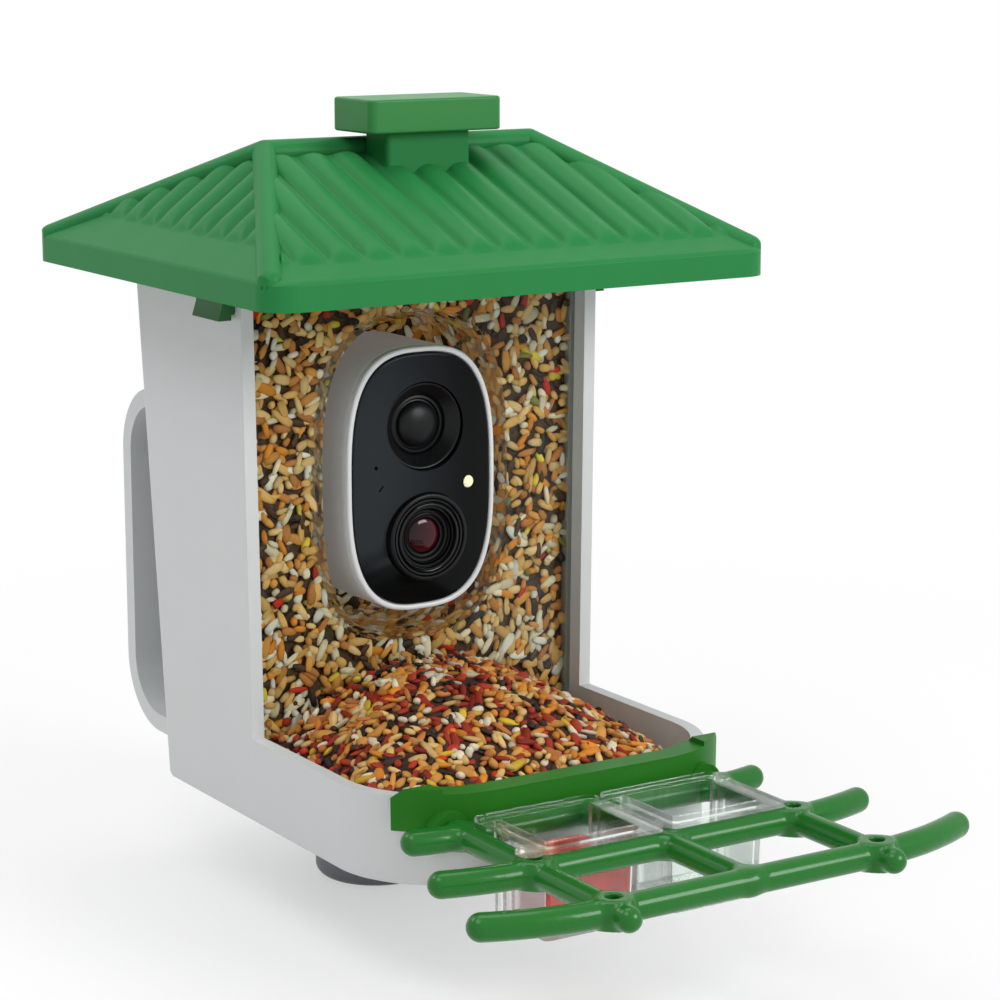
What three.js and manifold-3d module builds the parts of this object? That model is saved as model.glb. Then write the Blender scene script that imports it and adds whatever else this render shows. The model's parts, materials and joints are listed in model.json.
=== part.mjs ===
// Smart bird feeder: a hopper house with a hinged corrugated roof, a clear front with a pocket for a
// camera, a seed tray, a twig-shaped perch with two clear cups, a strap bracket and a pole collar.
// Millimetres. +Z is up, +Y is the back, +X is the right-hand side seen from the front.
// The origin is the centre of the pole seat on the underside of the floor.
import * as THREE from "three";
import { mergeVertices } from "three/addons/utils/BufferGeometryUtils.js";
import Module from "manifold-3d";

const wasm = await Module();
wasm.setup();

// Fits that every piece shares
const fit = 0.3; // gap between two pieces that touch
const overrun = 1; // how far a cutter runs past the face it cuts
const sunk = 1; // how far a lug or boss reaches into the wall it grows from

// Steps of the round shapes
const cornerSteps = 4;
const trayCornerSteps = 7;
const pinSteps = 12;
const screwSteps = 8;
const barSteps = 10;
const knuckleSteps = 16;
const ringSteps = 24;
const ovalSteps = 36;
const knobSteps = 30;

// Housing: two side walls, back wall, floor and tray in one moulding.
// Places across the feeder are measured from its middle, places in depth from the side walls' front edge.
const bodyTop = 202;
const bodyWall = 4.7;
const floorThickness = 3;
const halfWidthLow = 71.1;
const halfWidthHigh = 73.3;
const backLow = 70.7;
const backHigh = 86.6;
const backCornerRadius = 4;
const insideCornerRadius = 1.5;
const bottomChamfer = 2.5;
const trayReach = 98;
const trayHeight = 31;
const trayCornerRadius = 38;

// Camera's outside
const cameraHalfWidth = 30.75;
const cameraHalfHeight = 48;
const bezelFront = 2.6;
const bezelDepth = 3;
const shellDepth = 45; // from the bezel to the camera's back

// Window panel and its camera pocket
const windowSetback = 7;
const windowThickness = 2.2;
const windowBottom = 28;
const windowDrop = 2; // from the walls' tops down to the panel's upper edge
const windowTop = bodyTop - windowDrop;
const grooveDepth = 2.6;
const pocketSideGap = 7.55; // from the camera to the pocket's wall
const pocketEndGap = 9.8;
const pocketHalfWidth = cameraHalfWidth + pocketSideGap;
const pocketHalfHeight = cameraHalfHeight + pocketEndGap;
const pocketWall = 2;
const dockThickness = 4.5;
const ovalPower = 2.9;

// Seed ramp and the seed itself
const rampFront = 14;
const rampHigh = 52;
const rampThickness = 2.5;
const rampPocketGap = 4.8; // from the ramp's upper end to the camera pocket
const cameraHeight = rampHigh + rampPocketGap + pocketWall + pocketHalfHeight; // centre of the camera
const seedDrop = 14; // from the walls' tops down to the seed
const seedTop = bodyTop - seedDrop;
const heapSideGap = 4.4; // from the tray's inner faces to the heap
const heapFrontGap = 5.3;
const heapHalfWidth = halfWidthLow - bodyWall - heapSideGap;
const heapReach = trayReach - bodyWall - heapFrontGap;
const heapCornerRadius = 30;
const heapShoulderHeight = 25;
const heapMiddleHeight = 40;
const heapPeakHeight = 51;
const heapMiddleHalfWidth = 42;
const heapMiddleReach = 50;
const heapPeakHalfWidth = 18;
const heapPeakReach = 14;
const heapMiddleRadius = 24;
const heapPeakRadius = 9;

// Roof
const eaveSide = 26.1; // how far the roof's rim stands out past the walls' tops
const eaveBack = 27.9;
const rimDrop = 10.9; // from the walls' tops down to the rim's lower edge
const rimHeight = 9.2;
const roofRise = 34.3; // from the rim's upper edge to the ridge
const hipRun = 45.1; // from the rim's side to the ridge's end, in plan
const roofHalfWidth = halfWidthHigh + eaveSide;
const roofFront = 71.8;
const roofBack = backHigh + eaveBack;
const rimLow = bodyTop - rimDrop;
const rimHigh = rimLow + rimHeight;
const rimCornerRadius = 11;
const ridgeHeight = rimHigh + roofRise;
const ridgeBack = 16.5;
const ridgeHalfLength = roofHalfWidth - hipRun;
const roofThickness = 2.6;
const hipRibRadius = 4.3;
const hipRibSetback = 13; // from the rim's corner to where a hip rib's round end starts
const corrugationPitch = 13;
const corrugationHalfWidth = 4.4;
const corrugationHeight = 2;
const corrugationSteps = 3;
const ribEndShares = [0.45]; // of a quarter turn, where a corrugation's round end is drawn
const roofBorder = 12; // smooth strip above the rim, measured in plan
const ridgeBorder = 4.5; // smooth strip below the ridge, measured in plan

// Ridge block and the plinth it stands on
const blockHalfWidth = 26.7;
const blockHalfDepth = 14;
const blockBack = 4.5;
const blockRise = 6.5; // from the ridge to the block's underside
const blockThickness = 11.7;
const blockLow = ridgeHeight + blockRise;
const blockHigh = blockLow + blockThickness;
const blockCornerRadius = 3;
const plinthHalfWidth = 17;
const plinthHalfDepth = 8;
const plinthCornerRadius = 2;
const blockScrewAcross = 11;
const blockScrewDrop = 5.1; // from the ridge down to a screw's seat inside the roof
const blockScrewSeat = ridgeHeight - blockScrewDrop;

// Roof liner, gasket and hinge
const gasketThickness = 2;
const linerThickness = 2.5;
const linerOverhang = 2;
const linerScrewAcross = 54;
const linerScrewFront = 12;
const linerScrewBack = 70;
const bossRadius = 5;
const hingeDrop = 7; // from the walls' tops down to the hinge's axis
const hingeHeight = bodyTop - hingeDrop;
const hingeAcross = 48;
const knuckleRadius = 4.5;
const knuckleHalfWidth = 6;
const lugThickness = 4;
const hingeGap = 0.5; // between the knuckle and the back wall
const hingePinRadius = 1.6;

// Latches
const latchFront = 4;
const latchBack = 24;
const latchPivotDrop = 3; // from the walls' tops down to the latch's axis
const latchLength = 20;
const latchPivotHeight = bodyTop - latchPivotDrop;
const latchLow = latchPivotHeight - latchLength;
const latchThickness = 3.4;
const latchEyeRadius = 2.8;
const latchPinRadius = 1.2;
const latchNibHeight = 3;
const latchEarThickness = 2.2;
const latchNibStart = 2; // above the latch's lower end
const latchStandoff = 1.4; // from the side wall's outer face to the latch
const latchPinOverhang = 0.8;
const latchLipReach = 1.6;
const latchLipHeight = 5;

// Screws
const screwShankRadius = 1.5;
const screwHeadRadius = 3.2;
const screwHeadHeight = 2;
const screwGrip = 8; // length of thread in the piece that holds it
const shortGrip = 5; // the same where the roof slopes down to the boss
const pilotSpare = 1.5; // how much deeper a pilot hole is than its screw

// Camera
const bezelBand = 2.1;
const shellWall = 2.4;
const shellBackRound = 5;
const faceCrown = 3.6;
const crownShares = [1, 0.85, 0.65, 0.4, 0.15]; // of the face's half-sizes, where its crown is drawn
const motionHeight = 19.4; // above the camera's centre
const motionOuterRadius = 16;
const motionInnerRadius = 11;
const motionRecess = 4;
const motionDomeRadius = 9.4;
const motionRimRise = 1.1; // from the bezel's front to the cone's rim
const motionRimBand = 0.8;
const motionConeBack = 5.4; // from here on the sizes run back from the bezel's front
const motionFlange = 1.4;
const motionDomeTop = 0.2;
const motionDomeRound = 2.8;
const lensDrop = 20.6; // below the camera's centre
const lensOuterRadius = 16;
const lensProud = 5.2; // from the bezel's front to the barrel's front
const lensLipBand = 1.6;
const lensChamfer = 0.8;
const lensSeatDepth = 1.6;
const lensRingBand = 1.8;
const lensRingThickness = 1.2;
const lensWellRadius = 10.4;
const lensWellDepth = 5;
const lensGlassHeight = 3;
const lensBackWell = 8;
const lensBackWellDepth = 3;
const lightAcross = 18.5;
const lightDrop = 2.6;
const lightRadius = 2.3;
const lightRise = 1.6; // how far its front stands before the bezel's front
const microphoneAcross = 20;
const microphoneRise = 6;
const microphoneRadius = 0.7;
const boardThickness = 1.6;
const boardSetback = 11; // from the bezel's front to the board's front
const batterySideGap = 9.75; // from the camera's outside to the battery
const batteryEndGap = 14;
const batteryHalfWidth = cameraHalfWidth - batterySideGap;
const batteryHalfHeight = cameraHalfHeight - batteryEndGap;
const batteryThickness = 20;
const batteryCornerRadius = 4;
const speakerRadius = 9;
const speakerThickness = 4;
const motionCanRadius = 4.5;
const motionCanThickness = 3;
const imageSensorHalfSize = 5;
const imageSensorThickness = 2.2;
const portHalfWidth = 4.5;
const portDepth = 7;
const portThickness = 3.2;
const socketHalfWidth = 3.8;
const socketHalfDepth = 0.9;
const coverHalfWidth = 6.5;
const coverLength = 7.4;
const coverThickness = 2;
const coverCornerRadius = 1;
const buttonBackGap = 13.3; // from the camera's back to the button's middle
const buttonSetback = bezelDepth + fit + shellDepth - buttonBackGap;
const portButtonSpacing = 13;
const portSetback = buttonSetback - portButtonSpacing; // from the bezel's front to the port's middle
const buttonRadius = 4;
const buttonFlangeRadius = 5.2;
const buttonFlangeThickness = 1;
const buttonProud = 1;

// Camera dock
const dockHalfWidth = 16;
const dockHalfHeight = 24;
const dockCornerRadius = 5;
const dockScrewRise = 15;
const dockMagnetRadius = 9;
const dockMagnetThickness = 2;
const dockBossRadius = 4;
const dockBossLength = 7;

// Rear bracket
const bracketHalfWidth = 65;
const bracketHigh = 143;
const bracketLow = 12;
const bracketStandoff = 28.4; // from the back wall's top to the band's outer face
const bracketReach = backHigh + bracketStandoff;
const bracketThickness = 6.5;
const bracketCornerRadius = 26;
const bracketFootLength = 15;
const bracketFootThickness = 5;
const bracketFootSkin = 1; // what is left of a foot behind a screw's tip
const bracketScrewAcross = 48;

// Pole collar and thumbscrew
const poleBack = 38; // from the side walls' front edge to the pole's axis
const collarRadius = 23;
const collarBore = 16.5;
const collarLength = 40;
const collarFillet = 4;
const collarScrews = 3;
const thumbscrewDrop = 22;
const thumbscrewRadius = 3;
const thumbscrewNeck = 4;
const thumbscrewNeckRadius = 5;
const thumbKnobRadius = 9;
const thumbKnobLength = 10;
const thumbKnobLobes = 6;
const thumbKnobLobeDepth = 0.9;
const thumbKnobChamfer = 1.2;

// Perch rail
const railThickness = 4.2;
const railLow = 20.5;
const railLip = 2;
const railReturn = 11; // how far the rail runs back round the tray's corners
const railEnd = trayReach - railReturn;
const railBlockHeight = 35;
const railBlockAcross = 53; // the raised end blocks start here
const railBlockChamfer = 3.4;
const socketRadius = 6.6;
const socketLength = 3.4; // from the tray's front face
const socketReach = trayReach + socketLength;
const railReach = trayReach + fit + railThickness;

// Perch frame
const perchHeight = 21.5;
const armAcross = 51;
const armRadius = 4.2;
const armLength = 99; // from the rail to a side arm's round tip
const armReach = railReach + armLength;
const barPlaces = [4.9, 47.5, 90.5]; // along the arms, from the rail
const barReaches = barPlaces.map((place) => railReach + place);
const barTips = [68, 82, 92];
const barSweeps = [2.5, 5, 9]; // how far each bar's tips curve back
const barRadii = [4.4, 4.4, 4.5];
const barTipSteps = 3;
const tipTurnShares = [0.9, 0.6, 0.25]; // of a quarter turn, where a bar's round tip is drawn
const junctionRadius = 5.3;
const junctionHoleRadius = 2.5;
const junctionHoleDepth = 6;
const junctionRise = 0.4;

// Cups
const cupInner = 1; // from the feeder's middle to a cup's near edge
const cupArmGap = 2.5; // from a side arm's middle to a cup's far edge
const cupBackSetback = 0.8; // from the first bar's middle to the flange's back edge
const cupFrontOverhang = 1.5; // from the second bar's middle to the flange's front edge
const cupOuter = armAcross - cupArmGap;
const cupBack = barReaches[0] + cupBackSetback;
const cupFront = barReaches[1] + cupFrontOverhang;
const cupFlangeThickness = 1.4;
const cupWall = 1.6;
const cupMargin = 5; // flange on both sides of the pocket
const cupPocketGap = 0.8; // from the pocket to the second bar
const cupPocketBack = barReaches[0] + barRadii[0] + fit;
const cupPocketFront = barReaches[1] - barRadii[1] - cupPocketGap;
const cupDepth = 33;
const cupCornerRadius = 3;
const cupDraft = 0.6;
const cupFrontRadius = 3;
const cupTabRadius = 4.6;
const cupTabReach = 2.3; // from the left cup's edge to its tab's centre
const jellyDepth = 21;

const wood = (color) => new THREE.MeshStandardMaterial({ color, roughness: 0.9, metalness: 0 });
const plastic = (color, roughness) => new THREE.MeshStandardMaterial({ color, roughness, metalness: 0 });
const metal = (color) => new THREE.MeshStandardMaterial({ color, roughness: 0.35, metalness: 1 });
const clear = new THREE.MeshStandardMaterial({
  color: 0xe6f0ea,
  roughness: 0.08,
  metalness: 0,
  transparent: true,
  opacity: 0.3,
});
const bodyGrey = plastic(0xc8cbcb, 0.5);
const collarGrey = plastic(0x808086, 0.55);
const roofGreen = plastic(0x3f8152, 0.45);
const perchGreen = plastic(0x1e6923, 0.4);
const cameraGrey = plastic(0x76797b, 0.45);
const bezelWhite = plastic(0xeeeeee, 0.35);
const glossBlack = plastic(0x0d0f11, 0.1);
const satinBlack = plastic(0x1c1e20, 0.4);
const rubberGrey = plastic(0x4a4c4e, 0.85);
const boardGreen = plastic(0x14532d, 0.6);
const batteryBlue = plastic(0x2c4f7c, 0.5);
const paleLight = plastic(0xfff4c8, 0.4);
const jellyRed = plastic(0xb3202a, 0.2);
const seedTan = wood(0xc08a4e);
const steel = metal(0xb8babc);

// Outlines: lists of Vector2, anticlockwise

// A polygon whose corners are [across, up, fillet radius].
function filleted(corners, steps = cornerSteps) {
  const points = [];
  corners.forEach(([x, y, radius], i) => {
    const corner = new THREE.Vector2(x, y);
    if (!radius) {
      points.push(corner);
      return;
    }
    const [beforeX, beforeY] = corners.at(i - 1);
    const [afterX, afterY] = corners[(i + 1) % corners.length];
    const before = new THREE.Vector2(beforeX, beforeY).sub(corner).normalize();
    const after = new THREE.Vector2(afterX, afterY).sub(corner).normalize();
    const half = Math.acos(before.dot(after)) / 2;
    const middle = before.clone().add(after).normalize();
    const centre = corner.clone().addScaledVector(middle, radius / Math.sin(half));
    const first = before.multiplyScalar(radius / Math.tan(half)).add(corner).sub(centre);
    const last = after.multiplyScalar(radius / Math.tan(half)).add(corner).sub(centre);
    const turn = Math.atan2(first.cross(last), first.dot(last));
    for (let step = 0; step <= steps; step++) {
      const angle = (turn * step) / steps;
      points.push(first.clone().rotateAround(new THREE.Vector2(), angle).add(centre));
    }
  });
  return points;
}

function rectangle(left, right, low, high, radius = 0, steps = cornerSteps) {
  const corners = [[left, low], [right, low], [right, high], [left, high]];
  return filleted(corners.map((corner) => [...corner, radius]), steps);
}

// The rounded upright shape that the camera and its pocket share.
function oval(halfWidth, halfHeight, middle = 0, steps = ovalSteps) {
  return Array.from({ length: steps }, (_, step) => {
    const angle = (2 * Math.PI * step) / steps;
    const across = Math.sign(Math.cos(angle)) * Math.abs(Math.cos(angle)) ** (2 / ovalPower);
    const up = Math.sign(Math.sin(angle)) * Math.abs(Math.sin(angle)) ** (2 / ovalPower);
    return new THREE.Vector2(halfWidth * across, middle + halfHeight * up);
  });
}

function circle(radius, steps, x = 0, y = 0) {
  return Array.from({ length: steps }, (_, step) => {
    const angle = (2 * Math.PI * step) / steps;
    return new THREE.Vector2(x + radius * Math.cos(angle), y + radius * Math.sin(angle));
  });
}

// Solids

// A manifold solid of a closed geometry. Faces that point inwards are turned round.
function solidOf(geometry) {
  geometry.deleteAttribute("normal");
  geometry.deleteAttribute("uv");
  const merged = mergeVertices(geometry);
  const corners = [];
  for (let i = 0; i < merged.index.count; i += 3) {
    const [a, b, c] = merged.index.array.subarray(i, i + 3);
    if (a !== b && b !== c && c !== a) corners.push(a, b, c);
  }
  const build = (triVerts) =>
    new wasm.Manifold(
      new wasm.Mesh({
        numProp: 3,
        vertProperties: merged.attributes.position.array,
        triVerts: new Uint32Array(triVerts),
      }),
    );
  const solid = build(corners);
  return solid.volume() < 0 ? build(corners.reverse()) : solid;
}

const join = (...solids) => solids.reduce((whole, next) => whole.add(next));
const cut = (solid, ...tools) => tools.reduce((whole, tool) => whole.subtract(tool), solid);

// An outline pushed along an axis. It is drawn in X and Y for z, X and Z for y, Y and Z for x.
function prism(axis, outline, from, to) {
  const geometry = new THREE.ExtrudeGeometry(new THREE.Shape(outline), {
    depth: to - from,
    bevelEnabled: false,
  });
  if (axis === "y") geometry.translate(0, 0, -to).rotateX(Math.PI / 2);
  else geometry.translate(0, 0, from);
  if (axis === "x") {
    const turned = new THREE.Matrix4().makeBasis(
      new THREE.Vector3(0, 1, 0),
      new THREE.Vector3(0, 0, 1),
      new THREE.Vector3(1, 0, 0),
    );
    geometry.applyMatrix4(turned);
  }
  return solidOf(geometry);
}

// A skin over rings of Vector3 with as many points each, closed by its first and last ring.
// The rings run anticlockwise seen from the last one; flat gives a point's place in that view.
function loft(rings, flat = (v) => new THREE.Vector2(v.x, v.y)) {
  const count = rings[0].length;
  const triangles = [];
  rings.slice(1).forEach((high, i) => {
    const low = rings[i];
    for (let k = 0; k < count; k++) {
      const next = (k + 1) % count;
      triangles.push(low[k], low[next], high[next], low[k], high[next], high[k]);
    }
  });
  const cap = (ring, upwards) => {
    const outline = ring.map(flat);
    for (const face of THREE.ShapeUtils.triangulateShape(outline, [])) {
      const [a, b, c] = face.map((corner) => outline[corner]);
      const area = b.clone().sub(a).cross(c.clone().sub(a));
      const order = area > 0 === upwards ? face : [...face].reverse();
      triangles.push(...order.map((corner) => ring[corner]));
    }
  };
  cap(rings[0], false);
  cap(rings.at(-1), true);
  return solidOf(new THREE.BufferGeometry().setFromPoints(triangles));
}

const raised = (outline, z) => outline.map((p) => new THREE.Vector3(p.x, p.y, z));
const upright = (outline, y) => outline.map((p) => new THREE.Vector3(p.x, y, p.y));
const seenFromFront = (v) => new THREE.Vector2(v.x, v.z);

// A turned piece. Its profile lists [radius, distance along the axis]; "front" points to -Y.
function turned(axis, profile, steps, place = [0, 0, 0]) {
  const points = profile.map(([radius, along]) => new THREE.Vector2(radius, along));
  const geometry = new THREE.LatheGeometry(points, steps);
  if (axis === "x") geometry.rotateZ(-Math.PI / 2);
  if (axis === "z") geometry.rotateX(Math.PI / 2);
  if (axis === "front") geometry.rotateX(Math.PI);
  return solidOf(geometry.translate(...place));
}

const disc = (axis, radius, from, to, steps, place) =>
  turned(axis, [[0, from], [radius, from], [radius, to], [0, to]], steps, place);

// A round bar along a path that isn't upright, with round tips where asked.
function rod(path, radius, roundStart = false, roundEnd = false) {
  const stations = path.map((point) => [point, radius]);
  const tip = (end, inner) => {
    const outward = end.clone().sub(inner).normalize();
    return tipTurnShares.map((share) => {
      const angle = (share * Math.PI) / 2;
      return [end.clone().addScaledVector(outward, radius * Math.cos(angle)), radius * Math.sin(angle)];
    });
  };
  if (roundEnd) stations.push(...tip(path.at(-1), path.at(-2)));
  if (roundStart) stations.unshift(...tip(path[0], path[1]).reverse());
  const frames = stations.map((_, i) => {
    const along = stations[Math.min(i + 1, stations.length - 1)][0].clone();
    along.sub(stations[Math.max(i - 1, 0)][0]).normalize();
    const side = new THREE.Vector3(0, 0, 1).cross(along).normalize();
    return [side, along.cross(side)];
  });
  const rings = stations.map(([point, reach], i) =>
    circle(reach, barSteps).map((p) =>
      point.clone().addScaledVector(frames[i][0], p.x).addScaledVector(frames[i][1], p.y),
    ),
  );
  const [side, up] = frames.at(-1);
  return loft(rings, (v) => new THREE.Vector2(v.dot(side), v.dot(up)));
}

// Scene

const feeder = new THREE.Group();
feeder.position.y = -poleBack;

function piece(name, solid, material, parent = feeder) {
  const { numProp, vertProperties, triVerts } = solid.getMesh();
  const geometry = new THREE.BufferGeometry();
  geometry.setAttribute("position", new THREE.BufferAttribute(vertProperties, numProp));
  geometry.setIndex(new THREE.BufferAttribute(triVerts, 1));
  geometry.computeVertexNormals();
  const mesh = new THREE.Mesh(geometry, material);
  mesh.name = name;
  parent.add(mesh);
  return mesh;
}

// A pan-head screw at the middle of its head's seat, with the head on the +Z side before it is turned.
function screw(name, length, place, turn = [0, 0, 0], material = steel, parent = feeder) {
  const profile = [
    [0, -length],
    [screwShankRadius, -length],
    [screwShankRadius, 0],
    [screwHeadRadius, 0],
    [screwHeadRadius, screwHeadHeight / 2],
    [screwHeadRadius / 2, screwHeadHeight],
    [0, screwHeadHeight],
  ];
  const mesh = piece(name, turned("z", profile, screwSteps), material, parent);
  mesh.position.set(...place);
  mesh.rotation.set(...turn);
  return mesh;
}

// Tools for a screw: a running hole for its shank, which also serves as a pilot hole, and one for its head
const screwHole = (axis, from, to, place) => disc(axis, screwShankRadius + fit, from, to, pinSteps, place);
const headHole = (axis, from, to, place) => disc(axis, screwHeadRadius + fit, from, to, pinSteps, place);
const headUp = [0, 0, 0];
const headDown = [Math.PI, 0, 0];
const headFront = [Math.PI / 2, 0, 0];
const headBack = [-Math.PI / 2, 0, 0];

// Where the housing's tapered walls stand at a height
const tapered = (low, high, z) => low + ((high - low) * z) / bodyTop;
const halfWidthAt = (z) => tapered(halfWidthLow, halfWidthHigh, z);
const backAt = (z) => tapered(backLow, backHigh, z);

// The whole floor plan, tray included, drawn in by inset
function footprint(z, inset) {
  const side = halfWidthAt(z) - inset;
  const back = backAt(z) - inset;
  const front = inset - trayReach;
  const frontRadius = trayCornerRadius - inset;
  const backRadius = Math.max(backCornerRadius - inset, insideCornerRadius);
  const corners = [
    [side, front, frontRadius],
    [side, back, backRadius],
    [-side, back, backRadius],
    [-side, front, frontRadius],
  ];
  return raised(filleted(corners, trayCornerSteps), z);
}

// The tall part's plan, from a front that is open to its back wall
function housePlan(z, inset, front = 0) {
  const side = halfWidthAt(z) - inset;
  const back = backAt(z) - inset;
  const radius = Math.max(backCornerRadius - inset, insideCornerRadius);
  return raised(filleted([[side, front], [side, back, radius], [-side, back, radius], [-side, front]]), z);
}

// Places that several pieces share
const sides = [-1, 1];
const hingeBack = backHigh + hingeGap + knuckleRadius;
const armPlaces = [-armAcross, 0, armAcross];
const armStarts = armPlaces.map((x) => (x ? socketReach : railReach) + fit);
const collarScrewRadius = (collarBore + collarRadius) / 2;
const collarScrewPlaces = Array.from({ length: collarScrews }, (_, i) => {
  const angle = Math.PI / 2 + (2 * Math.PI * i) / collarScrews;
  return [collarScrewRadius * Math.cos(angle), poleBack + collarScrewRadius * Math.sin(angle)];
});
const bracketScrewHeights = [
  bracketLow + bracketThickness + bracketFootLength / 2,
  bracketHigh - bracketThickness - bracketFootLength / 2,
];
// Bottom of the recess in the back wall's inner face that takes a bracket screw's head
const bracketScrewSeat = (z) => backAt(z) - bodyWall + screwHeadHeight + 2 * fit;
// Seat of a perch screw's head on the tray's inner face, which is round at the side arms
const trayInside = (x) => {
  const straight = halfWidthAt(perchHeight) - trayCornerRadius;
  const round = trayCornerRadius - bodyWall;
  const past = Math.max(Math.abs(x) - straight, 0);
  return -(trayReach - trayCornerRadius) - Math.sqrt(round ** 2 - past ** 2);
};
const linerLow = bodyTop + gasketThickness + 2 * fit;
const linerHigh = linerLow + linerThickness;
const latchAcross = halfWidthHigh + latchStandoff + latchThickness / 2;
const shellBack = bezelFront + bezelDepth + fit + shellDepth;
const dockFront = shellBack + fit;
const dockBack = dockFront + dockThickness;
const pocketBack = dockBack + fit + pocketWall;
const ovalPocket = (spare) => oval(pocketHalfWidth + spare, pocketHalfHeight + spare, cameraHeight);

// Running hole for a hinge pin, through a lug or knuckle that lies between two places across
const pinHole = (from, to) =>
  disc("x", hingePinRadius + fit, from - overrun, to + overrun, pinSteps, [0, hingeBack, hingeHeight]);

// Housing
function housing() {
  const outside = join(
    loft([footprint(0, bottomChamfer), footprint(bottomChamfer, 0), footprint(trayHeight, 0)]),
    loft([housePlan(bottomChamfer, 0), housePlan(bodyTop, 0)]),
  );
  const inside = join(
    loft([footprint(floorThickness, bodyWall), footprint(trayHeight + overrun, bodyWall)]),
    loft([housePlan(floorThickness, bodyWall, -overrun), housePlan(bodyTop + overrun, bodyWall, -overrun)]),
  );
  const grooveHalfWidth = (z) => halfWidthAt(z) - bodyWall + grooveDepth;
  const grooveLow = windowBottom - fit;
  const grooveHigh = bodyTop + overrun;
  const groove = prism(
    "y",
    filleted([
      [-grooveHalfWidth(grooveLow), grooveLow],
      [grooveHalfWidth(grooveLow), grooveLow],
      [grooveHalfWidth(grooveHigh), grooveHigh],
      [-grooveHalfWidth(grooveHigh), grooveHigh],
    ]),
    windowSetback - fit,
    windowSetback + windowThickness + fit,
  );
  const lugs = [];
  const holes = [];
  for (const side of sides) {
    for (const end of sides) {
      const middle = side * hingeAcross + end * (knuckleHalfWidth + fit + lugThickness / 2);
      const from = middle - lugThickness / 2;
      const to = middle + lugThickness / 2;
      const low = hingeHeight - knuckleRadius;
      const arm = rectangle(backAt(low) - sunk, hingeBack, low, hingeHeight + knuckleRadius);
      lugs.push(prism("x", arm, from, to));
      lugs.push(disc("x", knuckleRadius, from, to, knuckleSteps, [0, hingeBack, hingeHeight]));
      holes.push(pinHole(from, to));
    }
    for (const z of bracketScrewHeights) {
      const seat = bracketScrewSeat(z);
      const place = [side * bracketScrewAcross, 0, z];
      holes.push(screwHole("y", seat - overrun, backAt(z) + overrun, place));
      holes.push(headHole("y", seat - bodyWall, seat, place));
    }
  }
  for (const [x, y] of collarScrewPlaces) {
    holes.push(screwHole("z", -overrun, floorThickness + overrun, [x, y, 0]));
  }
  for (const x of armPlaces) {
    const seat = trayInside(x);
    holes.push(screwHole("y", -trayReach - overrun, seat + overrun, [x, 0, perchHeight]));
    holes.push(headHole("y", seat, seat + screwHeadRadius * 2, [x, 0, perchHeight]));
  }
  return cut(join(outside, ...lugs), inside, groove, ...holes);
}
piece("housing", housing(), bodyGrey);

for (const side of sides) {
  const length = knuckleHalfWidth + fit + lugThickness;
  const pin = join(
    disc("x", hingePinRadius, -length, length + fit, pinSteps),
    disc("x", hingePinRadius * 2, length + fit, length + fit + hingePinRadius, pinSteps),
  );
  const mesh = piece(side < 0 ? "hinge_pin_left" : "hinge_pin_right", pin, steel);
  mesh.position.set(side * hingeAcross, hingeBack, hingeHeight);
  mesh.rotation.y = side < 0 ? Math.PI : 0;
}

// Seed ramp: a flat plate that leans from the floor to the back wall
const rampBack = backAt(rampHigh) - bodyWall - fit;
const rampSide = halfWidthAt(0) - bodyWall - fit;
const rampLow = floorThickness + fit;
const rampRise = (rampHigh - rampLow) / (rampBack - rampFront);
const rampLift = rampThickness * Math.hypot(1, rampRise);
const rampOutline = filleted([
  [rampFront, rampLow],
  [rampBack - rampThickness, rampLow + rampRise * (rampBack - rampThickness - rampFront)],
  [rampBack, rampHigh],
  [rampBack, rampHigh + rampLift],
  [rampFront, rampLow + rampLift],
]);
piece("seed_ramp", prism("x", rampOutline, -rampSide, rampSide), bodyGrey);

// Window panel with the camera pocket and the bosses for the dock's screws
function windowPanel() {
  const halfWidth = (z) => halfWidthAt(z) - bodyWall + grooveDepth - fit;
  const plate = filleted([
    [-halfWidth(windowBottom), windowBottom],
    [halfWidth(windowBottom), windowBottom],
    [halfWidth(windowTop), windowTop],
    [-halfWidth(windowTop), windowTop],
  ]);
  let panel = join(
    prism("y", plate, windowSetback, windowSetback + windowThickness),
    prism("y", ovalPocket(pocketWall), windowSetback, pocketBack),
  );
  const holes = [prism("y", ovalPocket(0), windowSetback - overrun, pocketBack - pocketWall)];
  for (const side of sides) {
    const place = [0, 0, cameraHeight + side * dockScrewRise];
    const bossEnd = pocketBack + dockBossLength;
    panel = join(panel, disc("y", dockBossRadius, pocketBack - sunk, bossEnd, pinSteps, place));
    holes.push(screwHole("y", pocketBack - pocketWall - overrun, bossEnd + overrun, place));
  }
  return cut(panel, ...holes);
}
piece("window_panel", windowPanel(), clear);

// Seed in the hopper, and the heap that has run out under the window
function seedFill() {
  const front = windowSetback + windowThickness + fit;
  const inset = bodyWall + fit;
  const bulk = loft([housePlan(floorThickness + fit, inset, front), housePlan(seedTop, inset, front)]);
  const rampBed = filleted([
    [rampFront - fit, -overrun],
    [rampBack + bodyWall, -overrun],
    [rampBack + bodyWall, rampHigh + rampLift + 2 * fit + rampRise * bodyWall],
    [rampFront - fit, rampLow + rampLift + 2 * fit],
  ]);
  const bosses = sides.map((side) =>
    disc("y", dockBossRadius + fit, pocketBack, pocketBack + dockBossLength + fit, pinSteps, [
      0,
      0,
      cameraHeight + side * dockScrewRise,
    ]),
  );
  return cut(
    bulk,
    prism("x", rampBed, -halfWidthHigh, halfWidthHigh),
    prism("y", ovalPocket(pocketWall + fit), 0, pocketBack + fit),
    ...bosses,
  );
}
piece("seed_fill", seedFill(), seedTan);

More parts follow.
